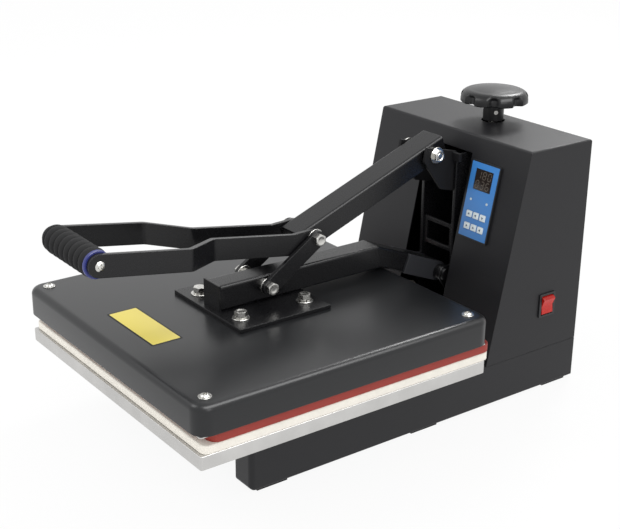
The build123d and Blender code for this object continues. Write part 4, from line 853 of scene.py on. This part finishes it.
class HEATPRESS_OT_beam(bpy.types.Operator):
    """Flange, bolts, beam, rear arm and hinge lugs"""
    bl_idname = "heat_press.beam"
    bl_label = "Beam"

    def execute(self, context):
        sizes = context.scene.heat_press_sizes
        for node, kind in (("beam", "mechanism"), ("rear_arm", "mechanism"), ("hinge_lugs", "lug"),
                           ("flange_plate", "mechanism")):
            sheet_copy(node + "_coated", node, kind, sizes.edge_break)
        self.make_bolts(sizes.hexagon_flats)
        return {"FINISHED"}

    def make_bolts(self, flats):
        """Plain washer, spring washer and hexagon at each corner, each stack turned to another angle."""
        top = corners("flange_plate")[1][2]
        bore = 4.2 * MM
        head_seat = 3.7 * MM
        stack = (washer(WASHER_RADIUS, bore, 0, WASHER_THICK),
                 spring_washer(7.0 * MM, bore, WASHER_THICK, 1.7 * MM),
                 moved(hexagon(flats, HEAD_HEIGHT), offset=(0, 0, head_seat)))
        shells = []
        for x, y in inner_corners(*corners("flange_bolts"), WASHER_RADIUS):
            turn = 9.0 * x + 14.0 * y
            shells += [spun(part, turn, (x, y, top)) for part in stack]
        piece("flange_bolt_heads", shells, "zinc", "upper_platen", "flange_bolts")


class HEATPRESS_OT_linkage(bpy.types.Operator):
    """Links, toggle arm, clevis and their bolts"""
    bl_idname = "heat_press.linkage"
    bl_label = "Linkage"

    def execute(self, context):
        sizes = context.scene.heat_press_sizes
        for node in ("toggle_links", "arm_channel"):
            sheet_copy(node + "_coated", node, "mechanism", sizes.edge_break)
        sheet_copy("clevis_cheeks_coated", "clevis_cheeks", "cheek")
        dress("elbow_bolt", "zinc")
        links_face = corners("toggle_links")[1][0]
        flats = sizes.hexagon_flats
        self.make_knuckle(flats, links_face)
        heads = both(on_axis(hexagon(flats, HEAD_HEIGHT), links_face, ELBOW))
        piece("elbow_heads_plated", heads, "zinc", "links", "elbow_heads")
        self.make_upper_pivot(flats)
        self.make_elbow_rings(links_face)
        return {"FINISHED"}

    def make_knuckle(self, flats, links_face):
        """The lower link bolt: heads outside the links, ring washers inside them, and collars that reach
        from these to the beam."""
        head_seat = corners("knuckle_bolt")[1][0] - HEAD_HEIGHT
        link_thick, ring_thick, beam_side = 5.0 * MM, 1.2 * MM, 15.0 * MM
        ring_seat = links_face - link_thick - WASHER_THICK
        reach = ring_seat - beam_side
        head = hexagon(flats, HEAD_HEIGHT)
        ring = washer(WASHER_RADIUS, WASHER_BORE, 0, ring_thick)
        collar = turned([(SHANK_RADIUS, 0), (7.0 * MM, 0), (7.0 * MM, reach), (SHANK_RADIUS, reach)])
        shells = both(on_axis(head, head_seat, KNUCKLE))
        shells += both(on_axis(ring, ring_seat, KNUCKLE))
        shells += both(on_axis(collar, beam_side, KNUCKLE))
        shells.append(shank(head_seat, KNUCKLE))
        piece("knuckle_bolt_plated", shells, "zinc", "upper_platen", "knuckle_bolt")

    def make_upper_pivot(self, flats):
        """The bolt through the clevis: washers and nuts outside the cheeks, the bolt's ends in the nuts,
        and spacers between the cheeks and the arm."""
        cheek_thick, spacer_reach = 4.0 * MM, 3.1 * MM
        washer_seat = corners("nut_block")[1][0] + cheek_thick
        nut_seat = washer_seat + WASHER_THICK
        spacer_seat = corners("arm_channel")[1][0] + 0.3 * MM
        ring = washer(WASHER_RADIUS, WASHER_BORE, 0, WASHER_THICK)
        nut = hexagon(flats, HEAD_HEIGHT, 4.1 * MM)
        spacer = turned([(SHANK_RADIUS, 0), (9.0 * MM, 0), (9.0 * MM, spacer_reach),
                         (SHANK_RADIUS, spacer_reach)])
        tail = turned([(SHANK_RADIUS, 0), (SHANK_RADIUS, 4.2 * MM), (3.2 * MM, 5.0 * MM)], 24)
        shells = both(on_axis(ring, washer_seat, UPPER_PIVOT))
        shells += both(on_axis(nut, nut_seat, UPPER_PIVOT))
        shells += both(on_axis(spacer, spacer_seat, UPPER_PIVOT))
        shells += both(on_axis(tail, nut_seat, UPPER_PIVOT))
        shells.append(shank(washer_seat, UPPER_PIVOT))
        piece("upper_pivot_bolt_plated", shells, "zinc", "clevis", "upper_pivot_bolt")

    def make_elbow_rings(self, links_face):
        """Bright ring washers that ride on the arm, just inside the links."""
        radius, gap, thick = 10.8 * MM, 0.05 * MM, 1.2 * MM
        arm_face = links_face - 6.5 * MM
        ring = washer(radius, WASHER_BORE, gap, gap + thick)
        piece("elbow_rings", both(on_axis(ring, arm_face, ELBOW)), "zinc", "handle")


class HEATPRESS_OT_handle(bpy.types.Operator):
    """Handle bars, ribbed grip, collars and screws"""
    bl_idname = "heat_press.handle"
    bl_label = "Handle"

    def execute(self, context):
        sheet_copy("handle_bars_coated", "handle_bars", "mechanism")
        self.make_grip()
        self.make_ends()
        return {"FINISHED"}

    def make_grip(self):
        """A foam sleeve with ribs: the radius is crown - groove * (1 - |sin| to the power of 0.45), with
        half a wave of the sine to each rib."""
        low, high = corners("ribbed_grip")
        half = (high[0] - low[0]) / 2
        proud, groove, core = 1.4 * MM, 3.4 * MM, 8.0 * MM
        crown = (high[2] - low[2]) / 2 + proud
        ribs, rows_per_rib = 8, 16
        along = np.linspace(0, 1, ribs * rows_per_rib + 1)
        swell = np.abs(np.sin(math.pi * ribs * along)) ** 0.45
        profile = np.column_stack([crown - groove * (1 - swell), (2 * along - 1) * half])
        profile = np.vstack([[(core, -half)], profile, [(core, half)]])
        shell = moved(turned(profile, 56), UPRIGHT_TO_RIGHT, GRIP)
        sleeve = piece("grip_sleeve", [shell], "grip", "handle", "ribbed_grip", SOFT_CREASE)

    def make_ends(self):
        """A plastic ring at each end of the sleeve, and a cap screw outside each bar."""
        low, high = corners("grip_collars")
        radius = (high[2] - low[2]) / 2
        width, core, soft = 4.5 * MM, 8.0 * MM, 1.0 * MM
        ring = turned([(core, 0), (radius - soft, 0), (radius, soft), (radius, width - soft),
                       (radius - soft, width), (core, width)], 48, closed=True)
        for side, kind, name in ((1, "collar", "collar_ring_right"), (-1, "grip", "collar_ring_left")):
            shell = on_axis(ring, side * (high[0] - width), GRIP, side)
            piece(name, [shell], kind, "handle", "grip_collars")
        bar_face = corners("handle_bars")[1][0]
        heads = both(on_axis(dome_head(5.5 * MM, 3.0 * MM), bar_face, GRIP))
        piece("grip_screw_heads", heads, "zinc", "handle", "grip_screws")


class HEATPRESS_OT_knob(bpy.types.Operator):
    """Pressure knob with finger flutes"""
    bl_idname = "heat_press.knob"
    bl_label = "Pressure knob"
    RADIUS = 43.2 * MM
    NECK = 13.2 * MM
    HEAD = 23.0 * MM

    def execute(self, context):
        low, high = corners("pressure_knob")
        centre = (low + high) / 2
        self.skirt = high[2] - self.HEAD
        profile = np.vstack([self.neck_profile(low[2]), self.head_profile()])
        shell = moved(turned(profile, 160, self.fluted), offset=(centre[0], centre[1], 0))
        piece("knob_moulded", [shell], "knob", "knob", "pressure_knob")
        return {"FINISHED"}

    def neck_profile(self, foot):
        """Straight neck with a small chamfer at its foot and a small flare under the head."""
        neck, skirt = self.NECK, self.skirt
        chamfer, flare, rim = 0.6 * MM, 1.0 * MM, 1.2 * MM
        return [(neck / 2, foot), (neck - chamfer, foot), (neck, foot + chamfer), (neck, skirt - flare),
                (neck + flare, skirt), (self.RADIUS - rim, skirt)]

    def head_profile(self):
        """Upright rim, then a quarter ellipse inwards, then a flat parabola that rises to the middle."""
        rim, rim_height, across, up, crown_rise = 1.2 * MM, 5.0 * MM, 13.0 * MM, 10.5 * MM, 2.6 * MM
        shoulder = self.skirt + rim_height
        bend = np.linspace(0, math.pi / 2, 14)
        side = np.column_stack([np.full(5, self.RADIUS), np.linspace(self.skirt + rim, shoulder, 5)])
        turn_in = np.column_stack([self.RADIUS - across * (1 - np.cos(bend)), shoulder + up * np.sin(bend)])
        sweep = np.linspace(0.0, 1.0, 12)[1:]
        rise = crown_rise * (1 - (1 - sweep) ** 2)
        crown = np.column_stack([(self.RADIUS - across) * (1 - sweep), shoulder + up + rise])
        crown[-1, 0] = 0.2 * MM
        return np.vstack([side, turn_in[1:], crown])

    def fluted(self, radius, height, angle):
        """Eight hollows in the rim: the radius falls by the depth times a smooth well round the rim, and
        the well fades out towards the middle, on the shoulder and under the skirt."""
        flutes, depth, widening = 8, 6.0 * MM, 0.05
        inner_share, inner_fade = 0.7, 0.2
        top, top_fade, under_fade = 13.0 * MM, 4.5 * MM, 3.0 * MM
        lobe = np.cos(flutes * (angle + math.pi / flutes))
        well = np.clip((-lobe + widening) / (1 + widening), 0, 1)
        well = well * well * (3 - 2 * well)
        on_rim = np.clip((radius / self.RADIUS - inner_share) / inner_fade, 0, 1)
        on_side = np.clip((self.skirt + top - height) / top_fade, 0, 1)
        over_skirt = np.clip((height - self.skirt + under_fade) / under_fade, 0, 1)
        return radius - depth * well * on_rim * on_side * over_skirt, height


class HEATPRESS_OT_controller(bpy.types.Operator):
    """Controller panel: frame, membrane, digits, lamps and keys"""
    bl_idname = "heat_press.controller"
    bl_label = "Controller"

    def execute(self, context):
        edge = 0.25 * MM
        key_count = 6
        for node, kind in (("controller_case", "case"), ("controller_overlay", "panel"),
                           ("display_window", "window")):
            sheet_copy(node + "_moulded", node, kind, edge)
        dress("indicator_leds", "lamp")
        self.make_digits()
        for index in range(key_count):
            self.make_key(index)
        return {"FINISHED"}

    def face_centre(self, node):
        """The middle of a node's outer face on the sloping panel."""
        points = np.array([v.co for v in frame["nodes"][node].data.vertices])
        height = points @ FRONT_NORMAL
        face = points[height > height.max() - 0.02 * MM]
        return (face.min(axis=0) + face.max(axis=0)) / 2

    def print_on_face(self, outline, centre, sunk, proud):
        """A flat outline made a thin plate on the panel, from just below its face to just above."""
        rings = [np.column_stack([outline, np.full(len(outline), z)]) for z in (-sunk, proud)]
        return moved(grid_shell(rings), ON_FRONT, centre)

    def make_digits(self):
        """Two rows of three seven-segment figures: a segment is a long hexagon, and a small slant leans
        each row."""
        centre = self.face_centre("display_window")
        width, tall, thick = 5.0 * MM, 9.0 * MM, 1.1 * MM
        pitch, row_pitch, slant = 8.6 * MM, 12.0 * MM, 0.1
        lit = {"1": "bc", "8": "abcdefg", "0": "abcdef", "3": "abgcd", "6": "acdefg"}
        places = {"a": (0, 1, 0), "g": (0, 0, 0), "d": (0, -1, 0), "f": (-1, 0.5, 1), "b": (1, 0.5, 1),
                  "e": (-1, -0.5, 1), "c": (1, -0.5, 1)}
        shells = []
        for row, text in enumerate(("180", "036")):
            for column, figure in enumerate(text):
                middle = np.array([(column - 1) * pitch, (0.5 - row) * row_pitch])
                for name in lit[figure]:
                    side, up, standing = places[name]
                    outline = self.segment(tall / 2 if standing else width, thick)
                    if standing:
                        outline = outline[:, ::-1]
                    outline = outline + middle + (side * width / 2, up * tall / 2)
                    outline[:, 0] += slant * outline[:, 1]
                    shells.append(self.print_on_face(outline, centre, 0.05 * MM, 0.12 * MM))
        piece("display_figures", shells, "digits", "press_frame")

    def segment(self, room, thick):
        """A long hexagon that fills 0.86 of its room and has points at its ends."""
        tip, half = room * 0.86 / 2, thick / 2
        return np.array([(-tip, 0), (half - tip, half), (tip - half, half), (tip, 0), (tip - half, -half),
                         (half - tip, -half)])

    def make_key(self, index):
        """A cap with softened edges, and a plain arrow whose direction goes round from key to key."""
        node = f"key_{index + 1}"
        body = f"key_cap_{index + 1}"
        centre = self.face_centre(node)
        low, high = corners(node)
        half_up, depth, corner, edge, arrow = 4.0 * MM, 4.0 * MM, 1.0 * MM, 0.7 * MM, 2.0 * MM
        half = np.array([(high[0] - low[0]) / 2, half_up])
        cap = slab((0, 0), half, corner, edge_profile(-depth, 0.0, 0.0, edge, 4), 4)
        piece(node + "_cap", [moved(cap, ON_FRONT, centre)], "keys", body, node)
        # An arrow's three tips point to 90, 210 and 330 degrees, here in half turns.
        tips = np.array([0.5, 1.1667, 1.8333]) * math.pi + index * math.pi / 2
        mark = np.column_stack([np.cos(tips), np.sin(tips)]) * arrow
        shell = self.print_on_face(mark, centre, 0.1 * MM, 0.06 * MM)
        piece(node + "_mark", [shell], "icon", body)


class HEATPRESS_OT_switch(bpy.types.Operator):
    """Power switch: bezel and red rocker"""
    bl_idname = "heat_press.switch"
    bl_label = "Power switch"

    def execute(self, context):
        for name, node, kind, edge in (("switch_bezel_moulded", "switch_bezel", "case", 0.4 * MM),
                                       ("rocker_moulded", "rocker", "rocker", 0.5 * MM)):
            sheet_copy(name, node, kind, edge)
        return {"FINISHED"}


class HEATPRESS_PT_sidebar(bpy.types.Panel):
    """Lists the operators and the settings"""
    bl_label = "Heat press"
    bl_idname = "HEATPRESS_PT_sidebar"
    bl_space_type = "VIEW_3D"
    bl_region_type = "UI"
    bl_category = "Heat press"

    def draw(self, context):
        layout = self.layout
        for operator in OPERATORS:
            layout.operator(operator.bl_idname)
        for group in ("heat_press_sizes", "heat_press_colours", "heat_press_studio"):
            box = layout.box()
            settings = getattr(context.scene, group)
            for name in settings.bl_rna.properties.keys():
                if name not in ("rna_type", "name"):
                    box.prop(settings, name)


OPERATORS = (HEATPRESS_OT_stage, HEATPRESS_OT_base, HEATPRESS_OT_plates, HEATPRESS_OT_cover,
             HEATPRESS_OT_beam, HEATPRESS_OT_linkage, HEATPRESS_OT_handle, HEATPRESS_OT_knob,
             HEATPRESS_OT_controller, HEATPRESS_OT_switch)
CLASSES = (HeatPressSizes, HeatPressColours, HeatPressStudio, *OPERATORS, HEATPRESS_PT_sidebar)


def register():
    """Registers the classes and puts the settings on the scene."""
    for kind in CLASSES:
        bpy.utils.register_class(kind)
    bpy.types.Scene.heat_press_sizes = bpy.props.PointerProperty(type=HeatPressSizes)
    bpy.types.Scene.heat_press_colours = bpy.props.PointerProperty(type=HeatPressColours)
    bpy.types.Scene.heat_press_studio = bpy.props.PointerProperty(type=HeatPressStudio)


def unregister():
    """Takes back what register did."""
    del bpy.types.Scene.heat_press_studio
    del bpy.types.Scene.heat_press_colours
    del bpy.types.Scene.heat_press_sizes
    for kind in reversed(CLASSES):
        bpy.utils.unregister_class(kind)


def main():
    """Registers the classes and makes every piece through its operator."""
    register()
    bpy.ops.heat_press.stage()
    bpy.ops.heat_press.base()
    bpy.ops.heat_press.plates()
    bpy.ops.heat_press.cover()
    bpy.ops.heat_press.beam()
    bpy.ops.heat_press.linkage()
    bpy.ops.heat_press.handle()
    bpy.ops.heat_press.knob()
    bpy.ops.heat_press.controller()
    bpy.ops.heat_press.switch()


if __name__ == "__main__":
    main()
